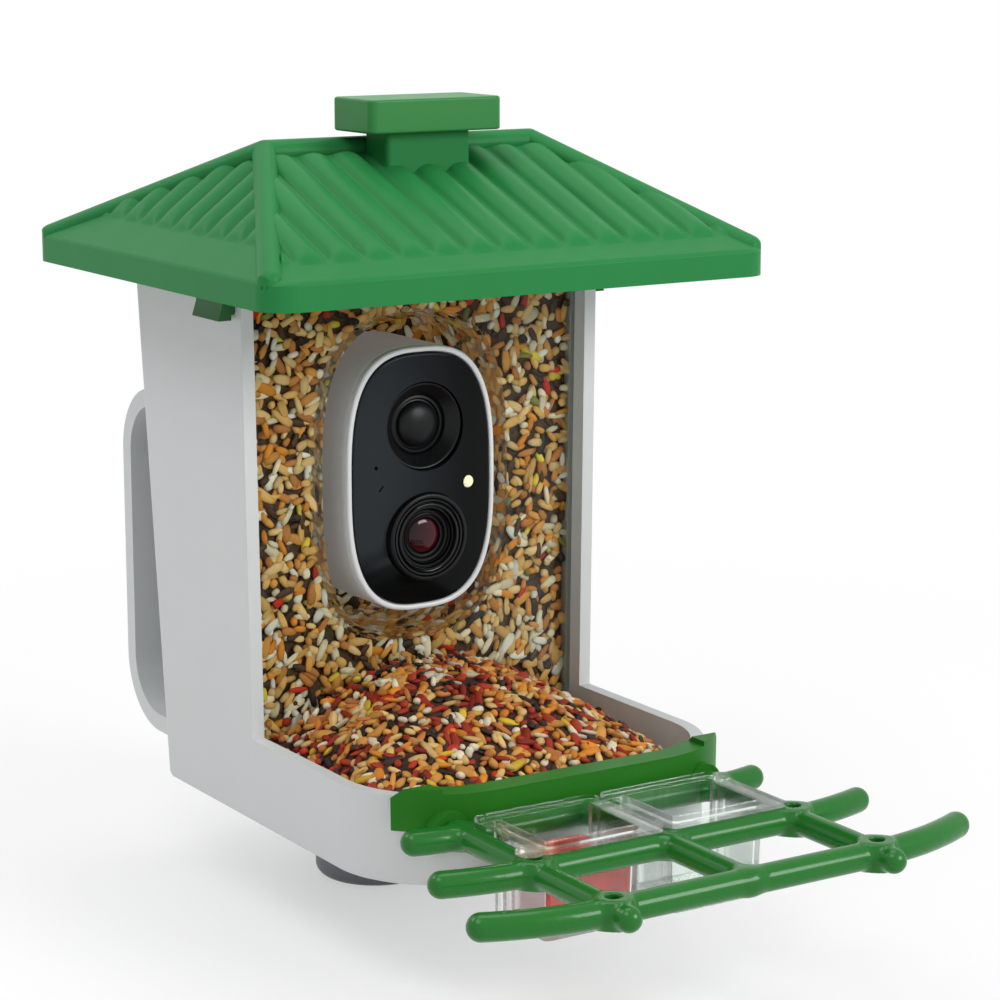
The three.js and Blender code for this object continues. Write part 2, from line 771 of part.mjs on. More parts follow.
function seedHeap() {
  const back = windowSetback - fit;
  const ring = (z, side, reach, radius) => {
    const corners = [[side, -reach, radius], [side, back], [-side, back], [-side, -reach, radius]];
    return raised(filleted(corners, trayCornerSteps), z);
  };
  const mound = loft([
    ring(floorThickness + fit, heapHalfWidth, heapReach, heapCornerRadius),
    ring(heapShoulderHeight, heapHalfWidth, heapReach, heapCornerRadius),
    ring(heapMiddleHeight, heapMiddleHalfWidth, heapMiddleReach, heapMiddleRadius),
    ring(heapPeakHeight, heapPeakHalfWidth, heapPeakReach, heapPeakRadius),
  ]);
  const mouth = prism(
    "z",
    rectangle(-heapHalfWidth, heapHalfWidth, 0, windowSetback + windowThickness),
    floorThickness + fit,
    windowBottom - 2 * fit,
  );
  return join(mound, mouth);
}
piece("seed_heap", seedHeap(), seedTan);

// Camera dock at the back of the pocket, with its magnet and screws
const dockScrewSeat = dockFront + screwHeadHeight + fit;
function cameraDock() {
  const outline = rectangle(
    -dockHalfWidth,
    dockHalfWidth,
    cameraHeight - dockHalfHeight,
    cameraHeight + dockHalfHeight,
    dockCornerRadius,
  );
  const middle = [0, 0, cameraHeight];
  const magnetSeat = dockFront + dockMagnetThickness + fit;
  const holes = [disc("y", dockMagnetRadius + fit, dockFront - overrun, magnetSeat, ringSteps, middle)];
  for (const side of sides) {
    const place = [0, 0, cameraHeight + side * dockScrewRise];
    holes.push(screwHole("y", dockFront - overrun, dockBack + overrun, place));
    holes.push(headHole("y", dockFront - overrun, dockScrewSeat, place));
  }
  return cut(prism("y", outline, dockFront, dockBack), ...holes);
}
piece("camera_dock", cameraDock(), bodyGrey);
piece(
  "dock_magnet",
  disc("y", dockMagnetRadius, dockFront, dockFront + dockMagnetThickness, ringSteps, [0, 0, cameraHeight]),
  steel,
);
for (const side of sides) {
  const place = [0, dockScrewSeat - fit, cameraHeight + side * dockScrewRise];
  const length = pocketBack + dockBossLength - dockScrewSeat;
  screw(side < 0 ? "dock_screw_low" : "dock_screw_high", length, place, headFront);
}

// Rear bracket: a wide band that stands off the back wall, so that a strap or a hand goes behind it
function rearBracket() {
  const wall = (z) => backAt(z) + fit;
  const inner = bracketCornerRadius - bracketThickness;
  const footTop = bracketHigh - bracketThickness;
  const footLow = bracketLow + bracketThickness;
  const reach = bracketReach - bracketThickness;
  const band = filleted([
    [wall(bracketLow), bracketLow],
    [bracketReach, bracketLow, bracketCornerRadius],
    [bracketReach, bracketHigh, bracketCornerRadius],
    [wall(bracketHigh), bracketHigh],
    [wall(footTop - bracketFootLength), footTop - bracketFootLength],
    [wall(footTop - bracketFootLength) + bracketFootThickness, footTop - bracketFootLength],
    [wall(footTop) + bracketFootThickness, footTop],
    [reach, footTop, inner],
    [reach, footLow, inner],
    [wall(footLow) + bracketFootThickness, footLow],
    [wall(footLow + bracketFootLength) + bracketFootThickness, footLow + bracketFootLength],
    [wall(footLow + bracketFootLength), footLow + bracketFootLength],
  ], trayCornerSteps);
  const holes = [];
  for (const side of sides) {
    for (const z of bracketScrewHeights) {
      const end = backAt(z) + fit + bracketFootThickness - bracketFootSkin;
      holes.push(screwHole("y", backAt(z) - overrun, end, [side * bracketScrewAcross, 0, z]));
    }
  }
  return cut(prism("x", band, -bracketHalfWidth, bracketHalfWidth), ...holes);
}
piece("rear_bracket", rearBracket(), bodyGrey);
bracketScrewHeights.forEach((z, row) => {
  sides.forEach((side, column) => {
    const seat = bracketScrewSeat(z) - fit;
    const length = backAt(z) + bracketFootThickness - bracketFootSkin - seat;
    screw(`bracket_screw_${2 * row + column + 1}`, length, [side * bracketScrewAcross, seat, z], headFront);
  });
});

// Pole collar under the floor, its screws and the thumbscrew that holds the pole
function poleCollar() {
  const section = filleted([
    [collarRadius, -fit],
    [collarBore, -fit],
    [collarBore, -collarLength],
    [collarRadius, -collarLength, collarFillet],
  ]);
  const profile = [...section, section[0]].map((p) => [p.x, p.y]);
  const holes = collarScrewPlaces.map(([x, y]) =>
    screwHole("z", -fit - screwGrip - pilotSpare, overrun, [x, y, 0]),
  );
  const threadPlace = [0, poleBack, -thumbscrewDrop];
  const thread = disc("y", thumbscrewRadius + fit, 0, collarRadius + overrun, pinSteps, threadPlace);
  return cut(turned("z", profile, knobSteps, [0, poleBack, 0]), thread, ...holes);
}
piece("pole_collar", poleCollar(), collarGrey);
collarScrewPlaces.forEach(([x, y], i) => {
  screw(`collar_screw_${i + 1}`, floorThickness + 2 * fit + screwGrip, [x, y, floorThickness + fit], headUp);
});

function thumbscrew() {
  const neckStart = collarRadius + fit;
  const knobStart = collarRadius + thumbscrewNeck;
  const lobed = (inset) =>
    Array.from({ length: knobSteps }, (_, step) => {
      const angle = (2 * Math.PI * step) / knobSteps;
      const reach = thumbKnobRadius - inset + thumbKnobLobeDepth * Math.cos(thumbKnobLobes * angle);
      return new THREE.Vector2(reach * Math.cos(angle), reach * Math.sin(angle));
    });
  const knob = loft(
    [
      upright(lobed(thumbKnobChamfer), knobStart + thumbKnobLength),
      upright(lobed(0), knobStart + thumbKnobLength - thumbKnobChamfer),
      upright(lobed(0), knobStart),
    ],
    seenFromFront,
  );
  return join(
    disc("y", thumbscrewRadius, collarBore, knobStart + sunk, pinSteps),
    disc("y", thumbscrewNeckRadius, neckStart, knobStart + sunk, ringSteps),
    knob,
  );
}
piece("collar_thumbscrew", thumbscrew(), satinBlack).position.set(0, poleBack, -thumbscrewDrop);

// Roof shell: a hipped roof with ribs along its hips and ridge, and corrugations down its four slopes
const slopeRise = ridgeHeight - rimHigh;
const insideEave = rimHigh - roofThickness / 2;
const insideRidge = ridgeHeight - roofThickness * Math.hypot(1, slopeRise / (roofFront + ridgeBack));
const linerScrewPlaces = [
  [-linerScrewAcross, linerScrewFront, screwGrip],
  [linerScrewAcross, linerScrewFront, screwGrip],
  [-linerScrewAcross, linerScrewBack, shortGrip],
  [linerScrewAcross, linerScrewBack, shortGrip],
];

function hipped(inset, low, eave, ridge) {
  const radius = Math.max(rimCornerRadius - inset, insideCornerRadius);
  const side = roofHalfWidth - inset;
  const outline = rectangle(-side, side, inset - roofFront, roofBack - inset, radius);
  const top = outline.map((p) => new THREE.Vector3(Math.sign(p.x) * ridgeHalfLength, ridgeBack, ridge));
  return loft([raised(outline, low), raised(outline, eave), top]);
}

// Each slope has the middle of its rim, the turn of its rim from +X, its run in plan from rim to ridge,
// and its lengths left and right of the middle along the rim and along the ridge.
const slopes = [
  { middle: [0, -roofFront], turn: 0, run: roofFront + ridgeBack },
  { middle: [0, roofBack], turn: Math.PI, run: roofBack - ridgeBack },
];
for (const slope of slopes) {
  slope.left = roofHalfWidth;
  slope.right = roofHalfWidth;
  slope.top = ridgeHalfLength;
}
for (const side of sides) {
  const ends = [roofBack - ridgeBack, roofFront + ridgeBack];
  const [left, right] = side < 0 ? ends : ends.reverse();
  const run = roofHalfWidth - ridgeHalfLength;
  const middle = [side * roofHalfWidth, ridgeBack];
  slopes.push({ middle, turn: (side * Math.PI) / 2, run, left, right, top: 0 });
}

function corrugations({ middle, turn, run, left, right, top }) {
  const across = new THREE.Vector3(Math.cos(turn), Math.sin(turn), 0);
  const inward = new THREE.Vector3(-Math.sin(turn), Math.cos(turn), 0);
  const normal = inward.clone().multiplyScalar(-slopeRise).add(new THREE.Vector3(0, 0, run)).normalize();
  const onSlope = (a, d, rise) =>
    new THREE.Vector3(...middle, rimHigh + (slopeRise * d) / run)
      .addScaledVector(across, a)
      .addScaledVector(inward, d)
      .addScaledVector(normal, rise);
  const flat = (v) => new THREE.Vector2(v.dot(across), v.dot(normal));
  const edge = (length, d) => length + ((top - length) * d) / run;
  const low = roofBorder;
  const high = run - ridgeBorder;
  const field = [
    [-edge(left, low), low],
    [edge(right, low), low],
    [edge(right, high), high],
    [-edge(left, high), high],
  ].map(([a, d]) => onSlope(a, d, 0));
  const ribs = [];
  const first = Math.ceil(-edge(left, low) / corrugationPitch);
  for (let place = first; place * corrugationPitch < edge(right, low); place++) {
    const a = place * corrugationPitch;
    const length = a < 0 ? left : right;
    const past = Math.max(Math.abs(a) - top, 0) / (length - top);
    const hip = run * (1 - past) + corrugationHalfWidth * (1 + run / (length - top));
    const end = Math.min(high, hip);
    const ring = (d, size) => {
      const points = [];
      for (let step = 0; step <= corrugationSteps; step++) {
        const angle = (Math.PI * step) / corrugationSteps;
        const offset = size * corrugationHalfWidth * Math.cos(angle);
        points.push(onSlope(a + offset, d, size * corrugationHeight * Math.sin(angle)));
      }
      for (const end of sides) points.push(onSlope(a + end * size * corrugationHalfWidth, d, -sunk));
      return points;
    };
    const ends = ribEndShares.map((share) => {
      const angle = (share * Math.PI) / 2;
      return [corrugationHalfWidth * (1 - Math.cos(angle)), Math.sin(angle)];
    });
    ribs.push(
      loft(
        [
          ...ends.map(([back, size]) => ring(end - back, size)),
          ring(end - corrugationHalfWidth, 1),
          ring(low + corrugationHalfWidth, 1),
          ...ends.reverse().map(([back, size]) => ring(low + back, size)),
        ],
        flat,
      ),
    );
  }
  const plan = field.map((p) => new THREE.Vector2(p.x, p.y));
  return join(...ribs).intersect(prism("z", plan, rimLow, blockHigh));
}

function roofShell() {
  const ridgeEnds = sides.map((side) => new THREE.Vector3(side * ridgeHalfLength, ridgeBack, ridgeHeight));
  const ribs = [rod(ridgeEnds, hipRibRadius)];
  for (const top of ridgeEnds) {
    for (const y of [-roofFront, roofBack]) {
      const low = new THREE.Vector3(Math.sign(top.x) * roofHalfWidth, y, rimHigh);
      low.addScaledVector(top.clone().sub(low).normalize(), hipRibSetback);
      ribs.push(rod([top, low], hipRibRadius, true, true));
    }
  }
  const plinth = rectangle(
    -plinthHalfWidth,
    plinthHalfWidth,
    blockBack - plinthHalfDepth,
    blockBack + plinthHalfDepth,
    plinthCornerRadius,
  );
  const outside = join(
    hipped(0, rimLow, rimHigh, ridgeHeight),
    ...ribs,
    ...slopes.map(corrugations),
    prism("z", plinth, rimHigh, blockLow - fit),
  );
  const bosses = linerScrewPlaces.map(([x, y]) =>
    disc("z", bossRadius, linerHigh + fit, ridgeHeight, pinSteps, [x, y, 0]),
  );
  const inside = cut(hipped(roofThickness, rimLow - overrun, insideEave, insideRidge), ...bosses);
  const holes = linerScrewPlaces.map(([x, y, grip]) =>
    screwHole("z", linerHigh, linerHigh + fit + grip + pilotSpare, [x, y, 0]),
  );
  for (const side of sides) {
    const place = [side * blockScrewAcross, blockBack, 0];
    holes.push(screwHole("z", rimHigh, blockLow, place));
    holes.push(headHole("z", rimHigh, blockScrewSeat, place));
  }
  return cut(outside, inside, ...holes);
}
piece("roof_shell", roofShell(), roofGreen);

// Block on the ridge, held from inside the roof
function ridgeBlock() {
  const outline = rectangle(
    -blockHalfWidth,
    blockHalfWidth,
    blockBack - blockHalfDepth,
    blockBack + blockHalfDepth,
    blockCornerRadius,
  );
  const holeTop = blockLow + screwGrip + pilotSpare;
  const holes = sides.map((side) =>
    screwHole("z", blockLow - overrun, holeTop, [side * blockScrewAcross, blockBack, 0]),
  );
  return cut(prism("z", outline, blockLow, blockHigh), ...holes);
}
piece("ridge_block", ridgeBlock(), roofGreen);
for (const side of sides) {
  const place = [side * blockScrewAcross, blockBack, blockScrewSeat - fit];
  const length = blockLow + screwGrip - blockScrewSeat + fit;
  screw(side < 0 ? "ridge_screw_left" : "ridge_screw_right", length, place, headDown);
}

// Gasket between the housing's top edge and the liner
const gasketLow = bodyTop + fit;
const gasketHigh = gasketLow + gasketThickness;
function roofGasket() {
  const inner = (z) => housePlan(z, bodyWall, bodyWall);
  return cut(
    loft([housePlan(gasketLow, 0), housePlan(gasketHigh, 0)]),
    loft([inner(gasketLow - overrun), inner(gasketHigh + overrun)]),
  );
}
piece("roof_gasket", roofGasket(), rubberGrey);

// Liner that closes the roof from below, with its hinge knuckles and the ears for the latches
const insideRun = roofBack - roofThickness - ridgeBack;
const insideSlope = (insideRidge - insideEave) / insideRun;
const underBackSlope = (y) => insideEave + insideSlope * (roofBack - roofThickness - y);
const earStarts = [latchFront - fit - latchEarThickness, latchBack + fit];
const earsEnd = latchBack + fit + latchEarThickness;
function roofLiner() {
  const back = roofBack - roofThickness - (linerHigh + fit - insideEave) / insideSlope;
  const side = halfWidthHigh + linerOverhang;
  const earSide = latchAcross + latchEyeRadius;
  const plates = [
    prism("z", rectangle(-side, side, -linerOverhang, back), linerLow, linerHigh),
    prism("z", rectangle(-earSide, earSide, earStarts[0], earsEnd), linerLow, linerHigh),
  ];
  const holes = linerScrewPlaces.map(([x, y]) =>
    screwHole("z", linerLow - overrun, linerHigh + overrun, [x, y, 0]),
  );
  const wallSide = backHigh + hingeGap;
  const outer = hingeBack + knuckleRadius;
  const arm = filleted([
    [wallSide - knuckleRadius, linerLow],
    [wallSide, linerLow],
    [wallSide, hingeHeight],
    [outer, hingeHeight],
    [outer, underBackSlope(outer) - 2 * fit],
    [back, linerHigh],
    [wallSide - knuckleRadius, linerHigh],
  ]);
  for (const end of sides) {
    const from = end * hingeAcross - knuckleHalfWidth;
    const to = end * hingeAcross + knuckleHalfWidth;
    plates.push(prism("x", arm, from, to));
    plates.push(disc("x", knuckleRadius, from, to, knuckleSteps, [0, hingeBack, hingeHeight]));
    holes.push(pinHole(from, to));
    const x = end * latchAcross;
    const place = [x, 0, latchPivotHeight];
    for (const start of earStarts) {
      const ear = rectangle(x - latchEyeRadius, x + latchEyeRadius, latchPivotHeight, linerHigh);
      plates.push(prism("y", ear, start, start + latchEarThickness));
      plates.push(disc("y", latchEyeRadius, start, start + latchEarThickness, pinSteps, place));
    }
    holes.push(disc("y", latchPinRadius + fit, earStarts[0] - overrun, earsEnd + overrun, pinSteps, place));
  }
  return cut(join(...plates), ...holes);
}
piece("roof_liner", roofLiner(), roofGreen);
linerScrewPlaces.forEach(([x, y, grip], i) => {
  screw(`roof_screw_${i + 1}`, linerThickness + 2 * fit + grip, [x, y, linerLow - fit], headDown);
});

// Latches that hang from the liner's ears beside the housing
function latch(side) {
  const half = latchThickness / 2;
  const wall = halfWidthAt(latchLow + latchNibStart + latchNibHeight) + fit - latchAcross;
  const nibLow = latchLow + latchNibStart - latchPivotHeight;
  const low = latchLow - latchPivotHeight;
  const mirrored = (points) => points.map(([x, z]) => new THREE.Vector2(side * x, z));
  const plate = [
    [-half, low],
    [half + latchLipReach, low],
    [half, low + latchLipHeight],
    [half, 0],
    [-half, 0],
  ];
  const nib = [[wall, nibLow], [0, nibLow], [0, nibLow + latchNibHeight], [wall, nibLow + latchNibHeight]];
  const body = join(
    prism("y", mirrored(plate), latchFront, latchBack),
    prism("y", mirrored(nib), latchFront, latchBack),
    disc("y", latchEyeRadius, latchFront, latchBack, pinSteps),
  );
  return cut(body, disc("y", latchPinRadius + fit, latchFront - overrun, latchBack + overrun, pinSteps));
}
for (const side of sides) {
  const name = side < 0 ? "left" : "right";
  const from = earStarts[0] - latchPinOverhang;
  const to = earsEnd + latchPinOverhang;
  piece(`latch_${name}`, latch(side), roofGreen).position.set(side * latchAcross, 0, latchPivotHeight);
  piece(`latch_pin_${name}`, disc("y", latchPinRadius, from, to, pinSteps), steel).position.set(
    side * latchAcross,
    0,
    latchPivotHeight,
  );
}

// Camera. Its pieces are placed from the middle of its outline; depths run back from the bezel's front.
const camera = new THREE.Group();
camera.position.set(0, bezelFront, cameraHeight);
feeder.add(camera);
const cameraOval = (inset) => oval(cameraHalfWidth - inset, cameraHalfHeight - inset);
const faceBack = bezelDepth;
const shellStart = faceBack + fit;
const shellEnd = shellStart + shellDepth;
const boardBack = boardSetback + boardThickness;
const cameraPiece = (name, solid, material) => piece(name, solid, material, camera);

// A turned camera piece: its profile lists [radius, depth behind the bezel's front].
const facing = (profile, steps, x = 0, z = 0) =>
  turned("front", profile.map(([radius, depth]) => [radius, -depth]), steps, [x, 0, z]);

function cameraShell() {
  const outside = loft(
    [
      upright(cameraOval(shellBackRound), shellEnd),
      upright(cameraOval(shellBackRound / 3), shellEnd - shellBackRound / 3),
      upright(cameraOval(0), shellEnd - shellBackRound),
      upright(cameraOval(0), shellStart),
    ],
    seenFromFront,
  );
  const inside = loft(
    [
      upright(cameraOval(shellWall + shellBackRound / 2), shellEnd - shellWall),
      upright(cameraOval(shellWall), shellEnd - shellBackRound),
      upright(cameraOval(shellWall), shellStart - overrun),
    ],
    seenFromFront,
  );
  const slot = [portSetback - socketHalfDepth, portSetback + socketHalfDepth];
  const portSlot = rectangle(-socketHalfWidth, socketHalfWidth, ...slot);
  return cut(
    outside,
    inside,
    prism("z", portSlot, -cameraHalfHeight - overrun, shellWall + overrun - cameraHalfHeight),
    disc("z", buttonRadius + fit, -cameraHalfHeight - overrun, 0, ringSteps, [0, buttonSetback, 0]),
  );
}
cameraPiece("camera_shell", cameraShell(), cameraGrey);
cameraPiece(
  "bezel",
  cut(
    prism("y", cameraOval(0), 0, bezelDepth),
    prism("y", cameraOval(bezelBand), -overrun, bezelDepth + overrun),
  ),
  bezelWhite,
);

// Crowned face with its openings
function face() {
  const inset = bezelBand + fit;
  const width = cameraHalfWidth - inset;
  const height = cameraHalfHeight - inset;
  const crown = crownShares.map((share) =>
    upright(oval(width * share, height * share), -faceCrown * (1 - share ** 2)),
  );
  const solid = loft([upright(oval(width, height), faceBack), ...crown], seenFromFront);
  const hole = (radius, steps, x, z) =>
    disc("y", radius, -faceCrown - overrun, faceBack + overrun, steps, [x, 0, z]);
  return cut(
    solid,
    hole(motionOuterRadius, ringSteps, 0, motionHeight),
    hole(lensOuterRadius + fit, ringSteps, 0, -lensDrop),
    hole(lightRadius + fit, pinSteps, lightAcross, -lightDrop),
    hole(microphoneRadius, pinSteps, -microphoneAcross, microphoneRise),
  );
}
cameraPiece("face", face(), glossBlack);

// Motion sensor: a recessed cone round a dome
const coneOuter = motionOuterRadius - fit;
cameraPiece(
  "motion_cone",
  facing([
    [motionInnerRadius, motionConeBack],
    [coneOuter, motionConeBack],
    [coneOuter, -motionRimRise],
    [coneOuter - motionRimBand, -motionRimRise],
    [motionInnerRadius, motionRecess - motionRimRise],
    [motionInnerRadius, motionConeBack],
  ], ringSteps, 0, motionHeight),
  satinBlack,
);
cameraPiece(
  "motion_dome",
  facing([
    [0, motionConeBack],
    [motionInnerRadius - fit, motionConeBack],
    [motionInnerRadius - fit, motionConeBack - motionFlange],
    [motionDomeRadius, motionConeBack - motionFlange],
    ...[...tipTurnShares, 0].map((share) => {
      const angle = (share * Math.PI) / 2;
      return [motionDomeRadius * Math.sin(angle), motionDomeTop + motionDomeRound * (1 - Math.cos(angle))];
    }),
  ], ringSteps, 0, motionHeight),
  satinBlack,
);

// Lens: a barrel with a front ring and a glass at the bottom of its well
const lipRadius = lensOuterRadius - lensLipBand;
const seatDepth = lensSeatDepth - lensProud;
const wellFloor = seatDepth + lensWellDepth;
cameraPiece(
  "lens_barrel",
  facing([
    [0, boardSetback - fit - lensBackWellDepth],
    [lensBackWell, boardSetback - fit - lensBackWellDepth],
    [lensBackWell, boardSetback - fit],
    [lensOuterRadius, boardSetback - fit],
    [lensOuterRadius, lensChamfer - lensProud],
    [lensOuterRadius - lensChamfer, -lensProud],
    [lipRadius, -lensProud],
    [lipRadius, seatDepth],
    [lensWellRadius, seatDepth],
    [lensWellRadius, wellFloor],
    [0, wellFloor],
  ], ringSteps, 0, -lensDrop),
  satinBlack,
);
cameraPiece(
  "lens_ring",
  facing([
    [lipRadius - fit, seatDepth - fit],
    [lipRadius - fit, seatDepth - fit - lensRingThickness],
    [lipRadius - fit - lensRingBand, seatDepth - fit - lensRingThickness],
    [lipRadius - fit - lensRingBand, seatDepth - fit],
    [lipRadius - fit, seatDepth - fit],
  ], ringSteps, 0, -lensDrop),
  glossBlack,
);
cameraPiece(
  "lens_glass",
  facing([
    [0, wellFloor - fit],
    [lensWellRadius - fit, wellFloor - fit],
    ...[...tipTurnShares, 0].map((share) => {
      const angle = (share * Math.PI) / 2;
      return [(lensWellRadius - fit) * Math.sin(angle), wellFloor - fit - lensGlassHeight * Math.cos(angle)];
    }),
  ], ringSteps, 0, -lensDrop),
  glossBlack,
);
cameraPiece(
  "status_light",
  disc("y", lightRadius, -lightRise, boardSetback - fit, pinSteps, [lightAcross, 0, -lightDrop]),
  paleLight,
);

// Inside the camera
cameraPiece("circuit_board", prism("y", cameraOval(shellWall + fit), boardSetback, boardBack), boardGreen);
cameraPiece(
  "motion_sensor",
  disc("y", motionCanRadius, boardSetback - fit - motionCanThickness, boardSetback - fit, pinSteps, [
    0,
    0,
    motionHeight,
  ]),
  steel,
);
const sensor = rectangle(
  -imageSensorHalfSize,
  imageSensorHalfSize,
  -imageSensorHalfSize - lensDrop,
  imageSensorHalfSize - lensDrop,
);
cameraPiece(
  "image_sensor",
  prism("y", sensor, boardSetback - fit - imageSensorThickness, boardSetback - fit),
  satinBlack,
);
const battery = rectangle(
  -batteryHalfWidth,
  batteryHalfWidth,
  -batteryHalfHeight,
  batteryHalfHeight,
  batteryCornerRadius,
);
const batteryFront = boardBack + fit;
cameraPiece("battery_pack", prism("y", battery, batteryFront, batteryFront + batteryThickness), batteryBlue);
const speakerBack = shellEnd - shellWall - fit;
const speakerFront = speakerBack - speakerThickness;
cameraPiece("speaker", disc("y", speakerRadius, speakerFront, speakerBack, ringSteps), satinBlack);

// Charging port, its cover and the power button, all at the camera's lowest edge
const shellInsideLow = shellWall - cameraHalfHeight;
function chargePort() {
  const block = (halfWidth, halfDepth) =>
    rectangle(-halfWidth, halfWidth, portSetback - halfDepth, portSetback + halfDepth);
  const low = shellInsideLow + fit;
  return cut(
    prism("z", block(portHalfWidth, portThickness / 2), low, low + portDepth),
    prism("z", block(socketHalfWidth, socketHalfDepth), low - overrun, low + portDepth - overrun),
  );
}
cameraPiece("charge_port", chargePort(), steel);
const coverHigh = -cameraHalfHeight - fit;
const coverOutline = rectangle(
  -coverHalfWidth,
  coverHalfWidth,
  portSetback - coverLength / 2,
  portSetback + coverLength / 2,
  coverCornerRadius,
);
cameraPiece("port_cover", prism("z", coverOutline, coverHigh - coverThickness, coverHigh), rubberGrey);
const buttonLow = -cameraHalfHeight - buttonProud;
const flangeLow = shellInsideLow + fit;
const flangeHigh = flangeLow + buttonFlangeThickness;
cameraPiece(
  "power_button",
  join(
    disc("z", buttonRadius, buttonLow, flangeLow + fit, ringSteps, [0, buttonSetback, 0]),
    disc("z", buttonFlangeRadius, flangeLow, flangeHigh, ringSteps, [0, buttonSetback, 0]),
  ),
  rubberGrey,
);

// Perch rail along the tray's front wall
function perchRail() {
  const wallTop = trayHeight + fit;
  const high = wallTop + railLip;
  const outer = -fit - railThickness;
  const region = (left, right) =>
    prism("z", rectangle(left, right, -armReach, -railEnd), -collarLength, blockHigh);
  const everything = region(-roofHalfWidth, roofHalfWidth);
  const band = loft([footprint(railLow, outer), footprint(high, outer)]).intersect(everything);
  const endBlocks = loft([footprint(railLow, outer), footprint(railBlockHeight, outer)]);
  const chamfer = filleted([
    [-railEnd, railBlockHeight - railBlockChamfer],
    [overrun - railEnd, railBlockHeight - railBlockChamfer],
    [overrun - railEnd, railBlockHeight + overrun],
    [-railEnd - railBlockChamfer - overrun, railBlockHeight + overrun],
  ]);
  const ends = [region(-roofHalfWidth, -railBlockAcross), region(railBlockAcross, roofHalfWidth)];
  const blocks = ends.map((end) =>
    cut(endBlocks.intersect(end), prism("x", chamfer, -roofHalfWidth, roofHalfWidth)),
  );
  const sockets = sides.map((side) =>
    disc("y", socketRadius, -socketReach, -railEnd, knuckleSteps, [side * armAcross, 0, perchHeight]),
  );
  const holes = armPlaces.map((x) => screwHole("y", -armReach, 0, [x, 0, perchHeight]));
  return cut(
    join(band, ...blocks, ...sockets),
    loft([footprint(0, -fit), footprint(wallTop, -fit)]),
    loft([footprint(trayHeight, bodyWall), footprint(railBlockHeight + overrun, bodyWall)]),
    ...holes,
  );
}
piece("perch_rail", perchRail(), perchGreen);

// Perch frame: two side arms with round tips, a middle arm that ends in the front bar, and three bars
// that curve back at their tips
function perchFrame() {
  const at = (x, y) => new THREE.Vector3(x, y, perchHeight);
  const parts = armPlaces.map((x, i) =>
    rod([at(x, -armStarts[i]), at(x, -(x ? armReach : barReaches.at(-1)))], armRadius, false, x !== 0),
  );
  barReaches.forEach((reach, i) => {
    const curve = Array.from({ length: barTipSteps }, (_, step) => {
      const share = (step + 1) / barTipSteps;
      return [armAcross + (barTips[i] - armAcross) * share, barSweeps[i] * share ** 2 - reach];
    });
    const right = curve.map(([x, y]) => at(x, y));
    const left = curve.map(([x, y]) => at(-x, y)).reverse();
    const path = [...left, at(-armAcross, -reach), at(armAcross, -reach), ...right];
    parts.push(rod(path, barRadii[i], true, true));
  });
  const holes = armPlaces.map((x, i) =>
    screwHole("y", -armStarts[i] - screwGrip - pilotSpare, overrun - armStarts[i], [x, 0, perchHeight]),
  );
  for (const side of sides) {
    for (const [i, reach] of barReaches.entries()) {
      if (i === 0) continue;
      const place = [side * armAcross, -reach, 0];
      const high = perchHeight + barRadii[i] + junctionRise;
      parts.push(disc("z", junctionRadius, perchHeight - barRadii[i], high, knuckleSteps, place));
      holes.push(disc("z", junctionHoleRadius, high - junctionHoleDepth, high + overrun, pinSteps, place));
    }
  }
  return cut(join(...parts), ...holes);
}
piece("perch_frame", perchFrame(), perchGreen);
armPlaces.forEach((x, i) => {
  const seat = trayInside(x) + fit;
  screw(`perch_screw_${i + 1}`, seat + armStarts[i] + screwGrip, [x, seat, perchHeight], headBack);
});

// Cups that hang in the perch frame, and the jelly in the left one
const cupRest = perchHeight + barRadii[1] + junctionRise + fit;
const pocketPlan = (inset) => {
  const left = cupInner + cupMargin + inset;
  const right = cupOuter - cupMargin - inset;
  const radius = Math.max(cupCornerRadius - inset, insideCornerRadius);
  return rectangle(left, right, inset - cupPocketFront, -cupPocketBack - inset, radius);
};
function cup() {
  const flange = filleted([
    [cupInner, -cupFront, cupFrontRadius],
    [cupOuter, -cupFront, cupFrontRadius],
    [cupOuter, -cupBack, cupCornerRadius],
    [cupInner, -cupBack, cupCornerRadius],
  ]);
  const top = cupRest + cupFlangeThickness;
  const floor = top - cupDepth;
  const solid = join(
    prism("z", flange, cupRest, top),
    loft([raised(pocketPlan(cupDraft), floor), raised(pocketPlan(0), cupRest + sunk)]),
  );
  const hollow = loft([
    raised(pocketPlan(cupDraft + cupWall), floor + cupWall),
    raised(pocketPlan(cupWall), top + overrun),
  ]);
  return cut(solid, hollow);
}
const leftShift = -cupInner - cupOuter;
const tabPlace = [cupInner - cupTabReach, cupTabRadius - cupFront, cupRest];
const tab = disc("z", cupTabRadius, 0, cupFlangeThickness, knuckleSteps, tabPlace);
piece("cup_right", cup(), clear);
piece("cup_left", join(cup(), tab), clear).position.x = leftShift;

const jellyLow = cupRest + cupFlangeThickness - cupDepth + cupWall + fit;
const jellyShare = 1 - jellyDepth / cupDepth;
piece(
  "jelly",
  loft([
    raised(pocketPlan(cupDraft + cupWall + fit), jellyLow),
    raised(pocketPlan(cupDraft * jellyShare + cupWall + fit), jellyLow + jellyDepth),
  ]),
  jellyRed,
).position.x = leftShift;

export default feeder;
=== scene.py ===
"""Smart bird feeder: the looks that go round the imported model.

Sizes are in millimetres and turn into metres where a mesh is made. +Z is up, +X is the right-hand side seen
from the front, and depths (Y) are measured from the side walls' front edge towards the back.
"""
import contextlib
import json
import math

import bmesh
import bpy
import numpy as np
from mathutils import Matrix, Vector

